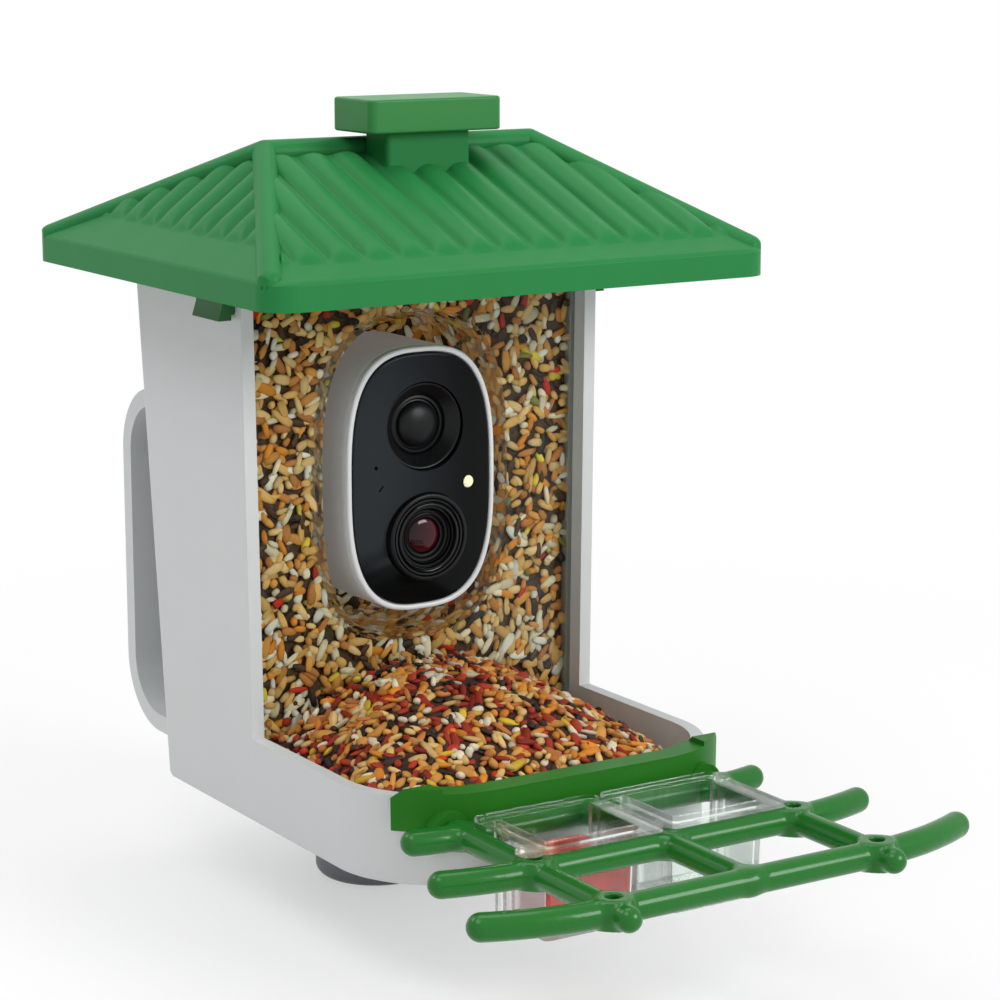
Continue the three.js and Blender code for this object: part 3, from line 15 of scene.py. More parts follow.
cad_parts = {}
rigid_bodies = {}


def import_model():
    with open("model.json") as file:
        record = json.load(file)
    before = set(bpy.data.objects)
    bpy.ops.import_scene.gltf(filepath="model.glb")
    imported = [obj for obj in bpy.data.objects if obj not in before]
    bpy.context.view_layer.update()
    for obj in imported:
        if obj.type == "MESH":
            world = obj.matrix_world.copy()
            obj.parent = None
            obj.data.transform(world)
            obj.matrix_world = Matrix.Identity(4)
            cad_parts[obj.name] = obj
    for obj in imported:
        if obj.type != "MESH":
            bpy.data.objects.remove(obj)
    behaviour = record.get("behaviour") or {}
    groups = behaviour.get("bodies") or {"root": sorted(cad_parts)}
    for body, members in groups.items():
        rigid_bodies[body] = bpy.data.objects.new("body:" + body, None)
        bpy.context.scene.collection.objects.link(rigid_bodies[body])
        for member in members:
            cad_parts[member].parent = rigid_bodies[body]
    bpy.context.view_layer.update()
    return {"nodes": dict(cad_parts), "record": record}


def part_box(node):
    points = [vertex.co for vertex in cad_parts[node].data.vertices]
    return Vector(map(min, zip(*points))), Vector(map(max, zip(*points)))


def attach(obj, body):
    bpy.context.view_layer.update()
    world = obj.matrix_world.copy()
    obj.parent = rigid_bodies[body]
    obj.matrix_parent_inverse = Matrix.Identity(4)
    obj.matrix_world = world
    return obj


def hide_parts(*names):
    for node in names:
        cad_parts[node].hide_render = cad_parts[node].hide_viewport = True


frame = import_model()

MM = 0.001
POLE_BACK = 38  # the frame's origin is this far behind the side walls' front edge
FIT = 0.3
SIDES = (-1, 1)

record = frame["record"]
body_of = {node: body for body, nodes in record["behaviour"]["bodies"].items() for node in nodes}

# The photograph's view: where the camera stands and which way its picture's right and up point
eye = Vector((-518.35, -866.78 - POLE_BACK, 310.37)) * MM
picture_right = Vector((0.84445, -0.53563, 0.0))
picture_up = Vector((0.10465, 0.16499, 0.98073))
LENS_LENGTH = 103.28
SENSOR_WIDTH = 36


def linked(name, data):
    """A new object, put in the scene."""
    made = bpy.data.objects.new(name, data)
    bpy.context.scene.collection.objects.link(made)
    return made


view = linked("view", bpy.data.cameras.new("view"))
view.data.lens = LENS_LENGTH
view.data.sensor_width = SENSOR_WIDTH
view.matrix_world = Matrix((picture_right, picture_up, picture_right.cross(picture_up))).transposed().to_4x4()
view.location = eye
bpy.context.scene.camera = view


# Node trees written as expressions

def maths(operation, reflected=False):
    """A method that adds one Math node, with its values the other way round where it is reflected."""

    def method(self, *others):
        values = (*others, self) if reflected else (self, *others)
        return self.graph.node("ShaderNodeMath", {"operation": operation}, dict(enumerate(values)))

    return method


class Wire:
    """A socket that Python's operators work on: each operator adds its Math node."""

    __add__ = maths("ADD")
    __radd__ = maths("ADD", True)
    __sub__ = maths("SUBTRACT")
    __rsub__ = maths("SUBTRACT", True)
    __mul__ = maths("MULTIPLY")
    __rmul__ = maths("MULTIPLY", True)
    __truediv__ = maths("DIVIDE")
    __pow__ = maths("POWER")
    below = maths("LESS_THAN")
    least = maths("MINIMUM")
    most = maths("MAXIMUM")
    root = maths("SQRT")
    rounded = maths("ROUND")
    size = maths("ABSOLUTE")

    def __init__(self, graph, socket):
        self.graph = graph
        self.socket = socket

    def share(self):
        """Held between 0 and 1."""
        return self.most(0.0).least(1.0)


class Graph:
    """A node tree, and the one method that adds a node to it."""

    def __init__(self, tree):
        self.tree = tree

    def node(self, kind, settings=None, inputs=None, output=0):
        """Adds a node, sets it up, and gives the wire of one of its outputs."""
        made = self.tree.nodes.new(kind)
        for name, value in (settings or {}).items():
            if name == "stops":
                stops = made.color_ramp.elements
                while len(stops) > 1:
                    stops.remove(stops[-1])
                for position, code in value:
                    stop = stops[0] if position == value[0][0] else stops.new(position)
                    stop.position = position
                    stop.color = tone(code)
            elif name == "interpolation":
                made.color_ramp.interpolation = value
            else:
                setattr(made, name, value)
        for label, value in (inputs or {}).items():
            if isinstance(value, Wire):
                self.tree.links.new(value.socket, made.inputs[label])
            else:
                made.inputs[label].default_value = value
        return Wire(self, made.outputs[output])

    def along(self, vector, axis):
        """One part of a vector: 0, 1 or 2."""
        return self.node("ShaderNodeSeparateXYZ", None, {0: vector}, axis)


def geometry_tree(name, inputs):
    """A node tree that takes geometry and named inputs: its graph, and a wire from each of them."""
    tree = bpy.data.node_groups.new(name, "GeometryNodeTree")
    for label, kind in (("Geometry", "Geometry"), *inputs):
        tree.interface.new_socket(label, in_out="INPUT", socket_type="NodeSocket" + kind)
    tree.interface.new_socket("Geometry", in_out="OUTPUT", socket_type="NodeSocketGeometry")
    graph = Graph(tree)
    given = tree.nodes.new("NodeGroupInput")
    return graph, [Wire(graph, socket) for socket in given.outputs[: len(inputs) + 1]]


def ended(graph, geometry, material):
    """The tree, closed by giving its geometry a material."""
    dressed = graph.node("GeometryNodeSetMaterial", None, {"Geometry": geometry, "Material": material})
    graph.tree.links.new(dressed.socket, graph.tree.nodes.new("NodeGroupOutput").inputs[0])
    return graph.tree


def tone(code, factor=1.0):
    """A colour written as six hexadecimal digits, as linear light times factor."""
    parts = [int(code[i : i + 2], 16) / 255 for i in (0, 2, 4)]
    linear = [c / 12.92 if c <= 0.04045 else ((c + 0.055) / 1.055) ** 2.4 for c in parts]
    return (*(c * factor for c in linear), 1.0)


class Finish(Graph):
    """A material: its Principled shader, and the patterns that feed it."""

    def __init__(self, name, constants):
        self.material = bpy.data.materials.new(name)
        self.material.use_nodes = True
        super().__init__(self.material.node_tree)
        self.shader = self.tree.nodes["Principled BSDF"]
        self.feed(constants)

    def feed(self, values):
        for name, value in values.items():
            if isinstance(value, Wire):
                self.tree.links.new(value.socket, self.shader.inputs[name])
            else:
                self.shader.inputs[name].default_value = value

    def place(self):
        return self.node("ShaderNodeTexCoord", output="Object")

    def cloud(self, grain, detail=2.0, stretch=(1.0, 1.0, 1.0)):
        """Soft noise whose blotches are about grain millimetres wide."""
        stretched = self.node("ShaderNodeMapping", None, {"Vector": self.place(), "Scale": stretch})
        pattern = {"Vector": stretched, "Scale": 1 / (grain * MM), "Detail": detail}
        return self.node("ShaderNodeTexNoise", None, pattern)

    def attribute(self, name):
        return self.node("ShaderNodeAttribute", {"attribute_name": name}, output="Fac")

    def blend(self, share, first, second):
        return self.node("ShaderNodeMix", {"data_type": "RGBA"}, {0: share, 6: first, 7: second}, output=2)

    def relief(self, height, depth):
        """The normal of a surface that height moulds, depth millimetres deep."""
        return self.node("ShaderNodeBump", None, {"Height": height, "Distance": depth * MM}, "Normal")

    def shown_through(self, share, first, second):
        """Shows the second of two shaders over the first, by share."""
        mixed = self.node("ShaderNodeMixShader", None, {0: share, 1: first, 2: second})
        self.tree.links.new(mixed.socket, self.tree.nodes["Material Output"].inputs["Surface"])


FLOW_MARKS = 38  # about how wide a flow mark is
HANDLED_SPOTS = 11  # about how wide a spot is that hands have polished
HANDLED = 0.14  # how far the roughness varies between such spots


def moulded(name, code, roughness, grain=0.5, depth=0.012, uneven=0.1, **constants):
    """Moulded plastic: fine spark-eroded grain, faint flow marks, and roughness that handling has varied."""
    finish = Finish(name, {
        key.replace("_", " ").title().replace("Ior", "IOR"): value for key, value in constants.items()})
    flow = finish.cloud(FLOW_MARKS, 3.0, (1.0, 1.0, 0.35))
    finish.feed({
        "Base Color": finish.blend(flow, tone(code, 1 - uneven / 2), tone(code, 1 + uneven / 2)),
        "Roughness": (roughness - HANDLED / 2) + finish.cloud(HANDLED_SPOTS, 3.0) * HANDLED,
        "Normal": finish.relief(finish.cloud(grain, 1.0), depth),
    })
    return finish


# Solids, as in the part's source but with finer steps. Each is an object until it is joined, cut or dressed.

ORDERS = {
    "x": lambda u, v, w: (w, u, v),
    "y": lambda u, v, w: (u, w, v),
    "z": lambda u, v, w: (u, v, w),
}
CORNER_STEPS = 12
ROUND_STEPS = 72


@contextlib.contextmanager
def editing(mesh):
    """A mesh's points and faces, open for changes that are written back at the end."""
    work = bmesh.new()
    work.from_mesh(mesh)
    yield work
    work.to_mesh(mesh)
    work.free()


def solid(points, faces):
    """An object of points in millimetres, its doubles merged and its faces turned outwards."""
    mesh = bpy.data.meshes.new("solid")
    mesh.from_pydata([(x * MM, (y - POLE_BACK) * MM, z * MM) for x, y, z in points], [], faces)
    with editing(mesh) as work:
        bmesh.ops.remove_doubles(work, verts=work.verts, dist=1e-7)
        bmesh.ops.recalc_face_normals(work, faces=work.faces)
    return linked("solid", mesh)


def loft(rings, closed=False):
    """A skin over rings with as many points each. Its ends are filled, or meet where it is closed."""
    count = len(rings[0])
    points = [point for ring in rings for point in ring]
    faces = []
    for low in range(len(rings) if closed else len(rings) - 1):
        high = (low + 1) % len(rings)
        for k in range(count):
            near, far = k, (k + 1) % count
            faces.append((low * count + near, low * count + far, high * count + far, high * count + near))
    if not closed:
        faces.append(tuple(range(count)))
        faces.append(tuple(range((len(rings) - 1) * count, len(rings) * count)))
    return solid(points, faces)


def prism(axis, outline, start, end):
    """An outline drawn out along an axis."""
    order = ORDERS[axis]
    return loft([[order(u, v, w) for u, v in outline] for w in (start, end)])


def turned(axis, profile, place=(0, 0, 0), steps=ROUND_STEPS, closed=False):
    """A turned piece. Its profile lists (radius, distance along the axis)."""
    order = ORDERS[axis]
    rings = []
    for radius, along in profile:
        ring = []
        for k in range(steps):
            angle = 2 * math.pi * k / steps
            point = order(radius * math.cos(angle), radius * math.sin(angle), along)
            ring.append(tuple(a + b for a, b in zip(point, place)))
        rings.append(ring)
    return loft(rings, closed)


def disc(axis, radius, start, end, place=(0, 0, 0), steps=ROUND_STEPS):
    return turned(axis, [(0, start), (radius, start), (radius, end), (0, end)], place, steps)


def filleted(corners, steps=CORNER_STEPS):
    """A polygon whose corners are (across, up, fillet radius)."""
    points = []
    for i, (x, y, radius) in enumerate(corners):
        corner = Vector((x, y))
        if not radius:
            points.append(tuple(corner))
            continue
        before = (Vector(corners[i - 1][:2]) - corner).normalized()
        after = (Vector(corners[(i + 1) % len(corners)][:2]) - corner).normalized()
        half = math.acos(before.dot(after)) / 2
        centre = corner + (before + after).normalized() * (radius / math.sin(half))
        first = corner + before * (radius / math.tan(half)) - centre
        last = corner + after * (radius / math.tan(half)) - centre
        turn = math.atan2(first.x * last.y - first.y * last.x, first.dot(last))
        for step in range(steps + 1):
            angle = turn * step / steps
            c, s = math.cos(angle), math.sin(angle)
            points.append((centre.x + first.x * c - first.y * s, centre.y + first.x * s + first.y * c))
    return points


def rectangle(left, right, low, high, radius=0, steps=CORNER_STEPS):
    corners = ((left, low), (right, low), (right, high), (left, high))
    return filleted([(*corner, radius) for corner in corners], steps)


OVAL_POWER = 2.9
OVAL_STEPS = 160


def oval(half_width, half_height, middle=0):
    """The rounded upright shape that the camera and its pocket share."""
    points = []
    for step in range(OVAL_STEPS):
        angle = 2 * math.pi * step / OVAL_STEPS
        c, s = math.cos(angle), math.sin(angle)
        across = math.copysign(abs(c) ** (2 / OVAL_POWER), c)
        up = math.copysign(abs(s) ** (2 / OVAL_POWER), s)
        points.append((half_width * across, middle + half_height * up))
    return points


def raised(outline, z):
    """A floor plan set at height z."""
    return [(x, y, z) for x, y in outline]


def upright(outline, y):
    """An outline seen from the front, set at depth y."""
    return [(x, y, z) for x, z in outline]


def plain(thing):
    """Turns an object's modifiers into a plain mesh."""
    ready = bpy.context.evaluated_depsgraph_get()
    mesh = bpy.data.meshes.new_from_object(thing.evaluated_get(ready))
    thing.modifiers.clear()
    thing.data = mesh
    return thing


def combine(first, operation, others):
    """Joins others to first, or cuts them out of it, and removes them."""
    for other in others:
        step = first.modifiers.new("combine", "BOOLEAN")
        step.operation = operation
        step.solver = "EXACT"
        step.object = other
    plain(first)
    for other in others:
        bpy.data.objects.remove(other)
    return first


def join(first, *others):
    return combine(first, "UNION", others)


def cut(first, *tools):
    return combine(first, "DIFFERENCE", tools)


def softened(thing, width, segments=2, angle=35):
    """Rounds the edges of a solid and shades it smooth."""
    if width:
        edges = thing.modifiers.new("edges", "BEVEL")
        edges.width = width * MM
        edges.segments = segments
        edges.limit_method = "ANGLE"
        edges.angle_limit = math.radians(angle)
        edges.miter_outer = "MITER_ARC"
        plain(thing)
    thing.data.shade_smooth()
    thing.data.set_sharp_from_angle(angle=math.radians(50))
    shading = thing.modifiers.new("shading", "WEIGHTED_NORMAL")
    shading.keep_sharp = True
    return plain(thing)


def copy_of(node):
    """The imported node's shape as a new solid, with its flat faces whole again."""
    mesh = frame["nodes"][node].data.copy()
    with editing(mesh) as work:
        bmesh.ops.remove_doubles(work, verts=work.verts, dist=1e-6)
        bmesh.ops.dissolve_limit(work, angle_limit=math.radians(0.5), verts=work.verts, edges=work.edges)
    return linked("solid", mesh)


def dress(thing, name, finish, *nodes, body=None, slot=None):
    """Names a finished piece, gives it its material, hangs it on the body that carries it, and hides the
    imported nodes that it stands for.
    """
    thing.name = name
    thing.data.name = name
    thing.data.materials.clear()
    thing.data.materials.append(finish.material)
    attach(thing, body or body_of[nodes[0]])
    if nodes:
        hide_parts(*nodes)
    return thing


# Finishes

body_grey = moulded("body grey moulding", "c8cbcb", 0.42, uneven=0.04)
collar_grey = moulded("collar grey moulding", "808086", 0.5, uneven=0.06)
roof_green = moulded("roof green moulding", "26783f", 0.4, grain=0.8, uneven=0.12, specular_ior_level=0.1)
block_green = moulded("ridge block green", "2f7a3c", 0.38, uneven=0.1, specular_ior_level=0.2)
perch_green = moulded(
    "perch green gloss", "1e6923", 0.26, grain=1.5, depth=0.02, uneven=0.14, coat_weight=0.2,
    specular_ior_level=0.15)
rail_green = moulded("perch rail green", "28701f", 0.4, grain=1.5, uneven=0.1, specular_ior_level=0.08)
# The case glows faintly in a pale grey: painted light that keeps its sides evenly grey in the shade inside
# the pocket.
camera_grey = moulded(
    "camera grey moulding", "a3a6a8", 0.4, uneven=0.05, emission_color=tone("e6e9ea"), emission_strength=0.1)
bezel_white = moulded("bezel white", "dcdedf", 0.3, uneven=0.03)
gloss_black = moulded("ring gloss black", "0a0b0d", 0.12, depth=0.0, uneven=0.1, specular_ior_level=0.3)
satin_black = moulded("satin black moulding", "0f1012", 0.36, uneven=0.12, specular_ior_level=0.2)
latch_green = moulded("latch green", "24602f", 0.42, uneven=0.1, specular_ior_level=0.2)
rubber_grey = moulded("seal rubber", "4a4c4e", 0.75, grain=0.35, depth=0.03, uneven=0.15)
board_green = moulded("circuit board lacquer", "14532d", 0.45, grain=1.2, depth=0.04, uneven=0.2)
battery_blue = moulded("battery wrap", "2c4f7c", 0.4, grain=6.0, depth=0.1, uneven=0.1)
steel = moulded("plated steel", "b8babc", 0.3, grain=0.4, depth=0.01, uneven=0.1, metallic=1.0)


STRAIGHT_MIRROR = 0.042  # what the Fresnel node gives for a surface seen straight on


def clear_finish():
    """Clear plastic: it lets light through, mirrors more at a slant, and is a little smeared by hands."""
    finish = Finish("clear plastic", {"Base Color": tone("ffffff"), "Metallic": 1.0})
    through = finish.node("ShaderNodeBsdfTransparent", None, {"Color": tone("fafdfb")})
    smears = finish.cloud(9, 4.0)
    finish.feed({"Roughness": 0.02 + smears * 0.09})
    slant = finish.node("ShaderNodeFresnel", None, {"IOR": 1.45})
    mirror = ((slant - STRAIGHT_MIRROR) * (0.7 + smears * 0.3)).share()
    finish.shown_through(mirror, through, Wire(finish, finish.shader.outputs[0]))
    return finish


clear_plastic = clear_finish()


# Housing

BODY_TOP = 202
BODY_WALL = 4.7
FLOOR = 3
TRAY_REACH = 98
TRAY_HEIGHT = 31
TRAY_RADIUS = 38
TRAY_STEPS = 28
WINDOW_SETBACK = 7
WINDOW_THICKNESS = 2.2
WINDOW_BOTTOM = 28
WINDOW_TOP = 200
GROOVE = 2.6
HINGE_HEIGHT = 195
HINGE_ACROSS = 48
KNUCKLE = 4.5
LUG_SPACING = 8.3  # from the middle of a roof knuckle to the middle of each lug beside it
LUG_HALF = 2
PIN_BORE = 1.9
SIDE_LOW, SIDE_HIGH = 71.1, 73.3  # half the width at the floor and at the top
BACK_LOW, BACK_HIGH = 70.7, 86.6
BACK_RADIUS = 4
LEAST_RADIUS = 1.5
HINGE_BACK = BACK_HIGH + 0.5 + KNUCKLE


def half_width_at(z):
    return SIDE_LOW + (SIDE_HIGH - SIDE_LOW) * z / BODY_TOP


def back_at(z):
    return BACK_LOW + (BACK_HIGH - BACK_LOW) * z / BODY_TOP


def footprint(z, inset):
    """The whole floor plan, tray included, drawn in by inset."""
    return house_plan(z, inset, inset - TRAY_REACH, TRAY_RADIUS - inset, TRAY_STEPS)


def house_plan(z, inset, front=0, front_radius=0, steps=CORNER_STEPS):
    """The floor plan from the front depth to the back wall, drawn in by inset."""
    side = half_width_at(z) - inset
    back = back_at(z) - inset
    small = max(BACK_RADIUS - inset, LEAST_RADIUS)
    corners = [
        (side, front, front_radius),
        (side, back, small),
        (-side, back, small),
        (-side, front, front_radius),
    ]
    return raised(filleted(corners, steps), z)


def window_outline(low, high, spare):
    """What the window's grooves leave between them, less spare at each side."""
    inset = BODY_WALL - GROOVE + spare
    wide_low, wide_high = half_width_at(low) - inset, half_width_at(high) - inset
    return [(-wide_low, low), (wide_low, low), (wide_high, high), (-wide_high, high)]


def housing():
    edge = 2.5
    shell = join(
        loft([footprint(0, edge), footprint(0.7, 0.7), footprint(edge, 0), footprint(TRAY_HEIGHT, 0)]),
        loft([house_plan(edge, 0), house_plan(BODY_TOP, 0)]),
    )
    lugs = []
    bores = []
    for side in SIDES:
        for end in SIDES:
            middle = side * HINGE_ACROSS + end * LUG_SPACING
            ends = (middle - LUG_HALF, middle + LUG_HALF)
            pivot = (0, HINGE_BACK, HINGE_HEIGHT)
            low = HINGE_HEIGHT - KNUCKLE
            arm = rectangle(back_at(low) - 1, HINGE_BACK, low, HINGE_HEIGHT + KNUCKLE)
            lugs.append(prism("x", arm, *ends))
            lugs.append(disc("x", KNUCKLE, *ends, pivot, 32))
            bores.append(disc("x", PIN_BORE, middle - 3, middle + 3, pivot, 20))
    inside = join(
        loft([footprint(FLOOR, BODY_WALL), footprint(TRAY_HEIGHT + 1, BODY_WALL)]),
        loft([house_plan(FLOOR, BODY_WALL, -1), house_plan(BODY_TOP + 1, BODY_WALL, -1)]),
    )
    slot = window_outline(WINDOW_BOTTOM - FIT, BODY_TOP + 1, 0)
    groove = prism("y", slot, WINDOW_SETBACK - FIT, WINDOW_SETBACK + WINDOW_THICKNESS + FIT)
    return cut(join(shell, *lugs), inside, groove, *bores)


dress(softened(housing(), 0.5), "housing_moulding", body_grey, "housing")


# Window panel with the camera's pocket

POCKET_HALF_WIDTH = 38.3
POCKET_HALF_HEIGHT = 57.8
POCKET_WALL = 2
POCKET_BACK = 58
CAMERA_HEIGHT = 116.6
DOCK_SCREW_RISE = 15
BOSS_RADIUS = 4
BOSS_REACH = 7
BOSS_BORE = 1.8


def pocket(spare):
    """The outline of the camera's pocket, spare larger all round."""
    return oval(POCKET_HALF_WIDTH + spare, POCKET_HALF_HEIGHT + spare, CAMERA_HEIGHT)


def window_panel():
    plate = window_outline(WINDOW_BOTTOM, WINDOW_TOP, FIT)
    panel = join(
        prism("y", plate, WINDOW_SETBACK, WINDOW_SETBACK + WINDOW_THICKNESS),
        prism("y", pocket(POCKET_WALL), WINDOW_SETBACK + 0.5, POCKET_BACK),
    )
    bosses = []
    holes = []
    for side in SIDES:
        place = (0, 0, CAMERA_HEIGHT + side * DOCK_SCREW_RISE)
        bosses.append(disc("y", BOSS_RADIUS, POCKET_BACK - 1, POCKET_BACK + BOSS_REACH, place, 32))
        holes.append(disc("y", BOSS_BORE, POCKET_BACK - 3, POCKET_BACK + BOSS_REACH + 1, place, 20))
    hollow = prism("y", pocket(0), WINDOW_SETBACK - 1, POCKET_BACK - POCKET_WALL)
    return cut(join(panel, *bosses), hollow, *holes)


dress(softened(window_panel(), 0.45), "window_and_pocket", clear_plastic, "window_panel")


# Roof: a smooth hipped skin whose corrugations a node tree raises, ribs on its hips and ridge, and a block

ROOF_HALF_WIDTH = 99.4
ROOF_FRONT = 71.8
ROOF_BACK = 114.5
RIM_LOW = 191.1
RIM_HIGH = 200.3
RIM_RADIUS = 11
RIDGE_HEIGHT = 234.6
RIDGE_BACK = 16.5
RIDGE_HALF = 54.3
ROOF_THICKNESS = 2.6
RIB_PITCH = 13.0
RIB_HALF_WIDTH = 5.7
RIB_HEIGHT = 2.9
ROOF_BORDER = 12.0
RIDGE_BORDER = 4.5
HIP_RADIUS = 4.3
HIP_SETBACK = 10  # from the rim's corner to where a hip rib's round end starts
HIP_DROP = 3.4  # from the rim's upper edge down to a hip rib's outer end


def evenly(outline, spacing):
    """A closed outline drawn again with evenly spaced points."""
    points = np.array([*outline, outline[0]])
    steps = np.hypot(*np.diff(points, axis=0).T)
    along = np.concatenate([[0], np.cumsum(steps)])
    places = np.linspace(0, along[-1], int(along[-1] / spacing), endpoint=False)
    return np.stack([np.interp(places, along, points[:, i]) for i in (0, 1)], axis=1)


RIM_PLAN = rectangle(-ROOF_HALF_WIDTH, ROOF_HALF_WIDTH, -ROOF_FRONT, ROOF_BACK, RIM_RADIUS, 16)


def roof_base():
    """The skin of the slopes and the rim: rings from the rim's foot up to the ridge, and back inside."""
    rim = evenly(RIM_PLAN, 0.7)
    top = np.stack([np.clip(rim[:, 0], -RIDGE_HALF, RIDGE_HALF), np.full(len(rim), RIDGE_BACK)], axis=1)

    def ring(share, z):
        plan = rim + (top - rim) * share
        return [(x, y, z) for x, y in plan]

    def slope(share, drop=0.0):
        return ring(share, RIM_HIGH + (RIDGE_HEIGHT - RIM_HIGH) * share - drop)

    edge = 0.9  # radius of the rim's upper edge
    rings = [ring(0, RIM_LOW), ring(0, RIM_LOW + 0.4), ring(0, RIM_HIGH - edge)]
    for turn in (0.35, 0.7):
        rings.append(ring(0.009 * turn**2, RIM_HIGH - edge * (1 - turn)))
    shares = np.concatenate([np.linspace(0.012, 0.3, 30), np.linspace(0.3, 1, 49)[1:]])
    rings += [slope(share) for share in shares]
    inner = ROOF_THICKNESS / 60
    under = [slope(share, ROOF_THICKNESS * 1.1) for share in np.linspace(0.98, inner, 6)]
    return loft([*rings, *under, ring(inner, RIM_LOW)], closed=True)


def roof_tree():
    """Raises the corrugations of all four slopes, and keeps how high each point was raised."""
    sizes = [(name, "Float") for name in ("Pitch", "Half width", "Height", "Border")]
    graph, (base, pitch, half_width, height, border) = geometry_tree("roof corrugations", sizes)
    place = graph.node("GeometryNodeInputPosition")
    x, y, z = (graph.along(place, axis) / MM for axis in range(3))
    y = y + POLE_BACK
    front_run = ROOF_FRONT + RIDGE_BACK
    back_run = ROOF_BACK - RIDGE_BACK
    side_run = ROOF_HALF_WIDTH - RIDGE_HALF
    front = (y + ROOF_FRONT) / front_run
    back = (ROOF_BACK - y) / back_run
    side = (ROOF_HALF_WIDTH - x.size()) / side_run
    long_slope = front.least(back)
    on_side = side.below(long_slope)
    on_front = front.below(back)
    run = on_side * side_run + (1 - on_side) * (on_front * front_run + (1 - on_front) * back_run)
    across = on_side * (y - RIDGE_BACK) + (1 - on_side) * x
    up = side.least(long_slope) * run
    nearest = (across / pitch).rounded() * pitch
    off = (across - nearest) / half_width
    bulge = (1 - off * off).most(0.0) ** 0.7

    def round_end(distance):
        near = 1 - (distance / half_width).share()
        return (1 - near * near).most(0.0).root()

    rise = height * bulge * round_end(up - border) * round_end(run - RIDGE_BORDER - up)
    outside = (RIM_HIGH - 0.5 + up / run * (RIDGE_HEIGHT - RIM_HIGH)).below(z)
    rise = rise * outside
    offset = graph.node("ShaderNodeCombineXYZ", None, {2: rise * MM})
    moved = graph.node("GeometryNodeSetPosition", None, {"Geometry": base, "Offset": offset})
    kept = graph.node(
        "GeometryNodeStoreNamedAttribute",
        {"data_type": "FLOAT", "domain": "POINT"},
        {"Geometry": moved, "Name": "crest", "Value": rise / height},
    )
    return ended(graph, kept, roof_green.material)


def use_tree(thing, tree, values):
    """Runs a node tree on an object, with its inputs by name, and leaves the plain result."""
    step = thing.modifiers.new("tree", "NODES")
    step.node_group = tree
    for item in tree.interface.items_tree:
        if item.in_out == "INPUT" and item.name in values:
            step[item.identifier] = values[item.name]
    return plain(thing)


def tube(path, radius, steps=28):
    """A round bar along a path of points, with round ends."""
    points = [Vector(point) for point in path]
    stations = []
    for end, inner in ((points[0], points[1]), (points[-1], points[-2])):
        out = (end - inner).normalized()
        tips = []
        for step in range(1, 7):
            angle = math.radians(90 * step / 6)
            tips.append((end + out * radius * math.sin(angle), radius * math.cos(angle)))
        stations.append(tips)
    line = [*reversed(stations[0]), *((point, radius) for point in points), *stations[1]]
    rings = []
    for i, (point, reach) in enumerate(line):
        along = (line[min(i + 1, len(line) - 1)][0] - line[max(i - 1, 0)][0]).normalized()
        side = Vector((0, 0, 1)).cross(along).normalized()
        up = along.cross(side)
        ring = []
        for k in range(steps):
            angle = 2 * math.pi * k / steps
            ring.append(tuple(point + side * (reach * math.cos(angle)) + up * (reach * math.sin(angle))))
        rings.append(ring)
    return loft(rings)


roof = use_tree(roof_base(), roof_tree(), {
    "Pitch": RIB_PITCH,
    "Half width": RIB_HALF_WIDTH,
    "Height": RIB_HEIGHT,
    "Border": ROOF_BORDER,
})
dress(softened(roof, 0), "roof_skin", roof_green, "roof_shell")

ridge_ends = [Vector((side * RIDGE_HALF, RIDGE_BACK, RIDGE_HEIGHT)) for side in SIDES]
hip_ribs = [tube(ridge_ends, HIP_RADIUS)]
for ridge_end in ridge_ends:
    for y in (-ROOF_FRONT, ROOF_BACK):
        corner = Vector((math.copysign(ROOF_HALF_WIDTH, ridge_end.x), y, RIM_HIGH - HIP_DROP))
        outer = corner + (ridge_end - corner).normalized() * HIP_SETBACK
        hip_ribs.append(tube([ridge_end, outer], HIP_RADIUS))
hip_ribs = combine(join(*hip_ribs), "INTERSECT", [prism("z", RIM_PLAN, RIM_LOW + 2, RIDGE_HEIGHT + 10)])
dress(softened(hip_ribs, 1.1, 4), "roof_hip_ribs", roof_green, body="roof", slot="roof_green")

BLOCK_LOW = 241.1
BLOCK_HIGH = 252.8
BLOCK_PLAN = (-26.7, 26.7, -9.5, 18.5, 3)  # left, right, front, back and corner radius
PLINTH_PLAN = (-17, 17, -3.5, 12.5, 2)

plinth = prism("z", rectangle(*PLINTH_PLAN), RIM_HIGH + 20, BLOCK_LOW - FIT)
dress(softened(plinth, 0.4), "ridge_plinth", roof_green, body="roof", slot="roof_green")
block = prism("z", rectangle(*BLOCK_PLAN), BLOCK_LOW, BLOCK_HIGH)
dress(softened(block, 0.9, 3), "ridge_block_moulding", block_green, "ridge_block")


# Perch: a skin over a distance field, so that bars and arms run into each other with soft webs

PERCH_HEIGHT = 21.5
ARM_ACROSS = 51
ARM_RADIUS = 4.2
ARM_REACH = 201.5
RAIL_REACH = 102.5
SOCKET_REACH = 101.4
BAR_REACHES = (107.4, 150, 193)
BAR_TIPS = (68, 82, 92)
BAR_SWEEPS = (2.5, 5, 9)
BAR_RADII = (4.4, 4.4, 4.5)
JUNCTION_RADIUS = 5.3
JUNCTION_HOLE = 2.5
JUNCTION_DEPTH = 5.6
PERCH_SPACE = ((-97, -210, 14), (97, -100, 29))  # the box that the field is worked out in
PERCH_CELL = 0.75


def capsule(points, start, end, radius):
    """How far each point is from a round bar with round ends."""
    start, end = np.array(start, float), np.array(end, float)
    line = end - start
    share = np.clip((points - start) @ line / (line @ line), 0, 1)
    return np.linalg.norm(points - start - share[:, None] * line, axis=1) - radius


def melt(first, second, width):
    """The nearer of two distances, with a fillet about width wide where they cross."""
    near = np.clip(0.5 + 0.5 * (second - first) / width, 0, 1)
    return second * (1 - near) + first * near - width * near * (1 - near)


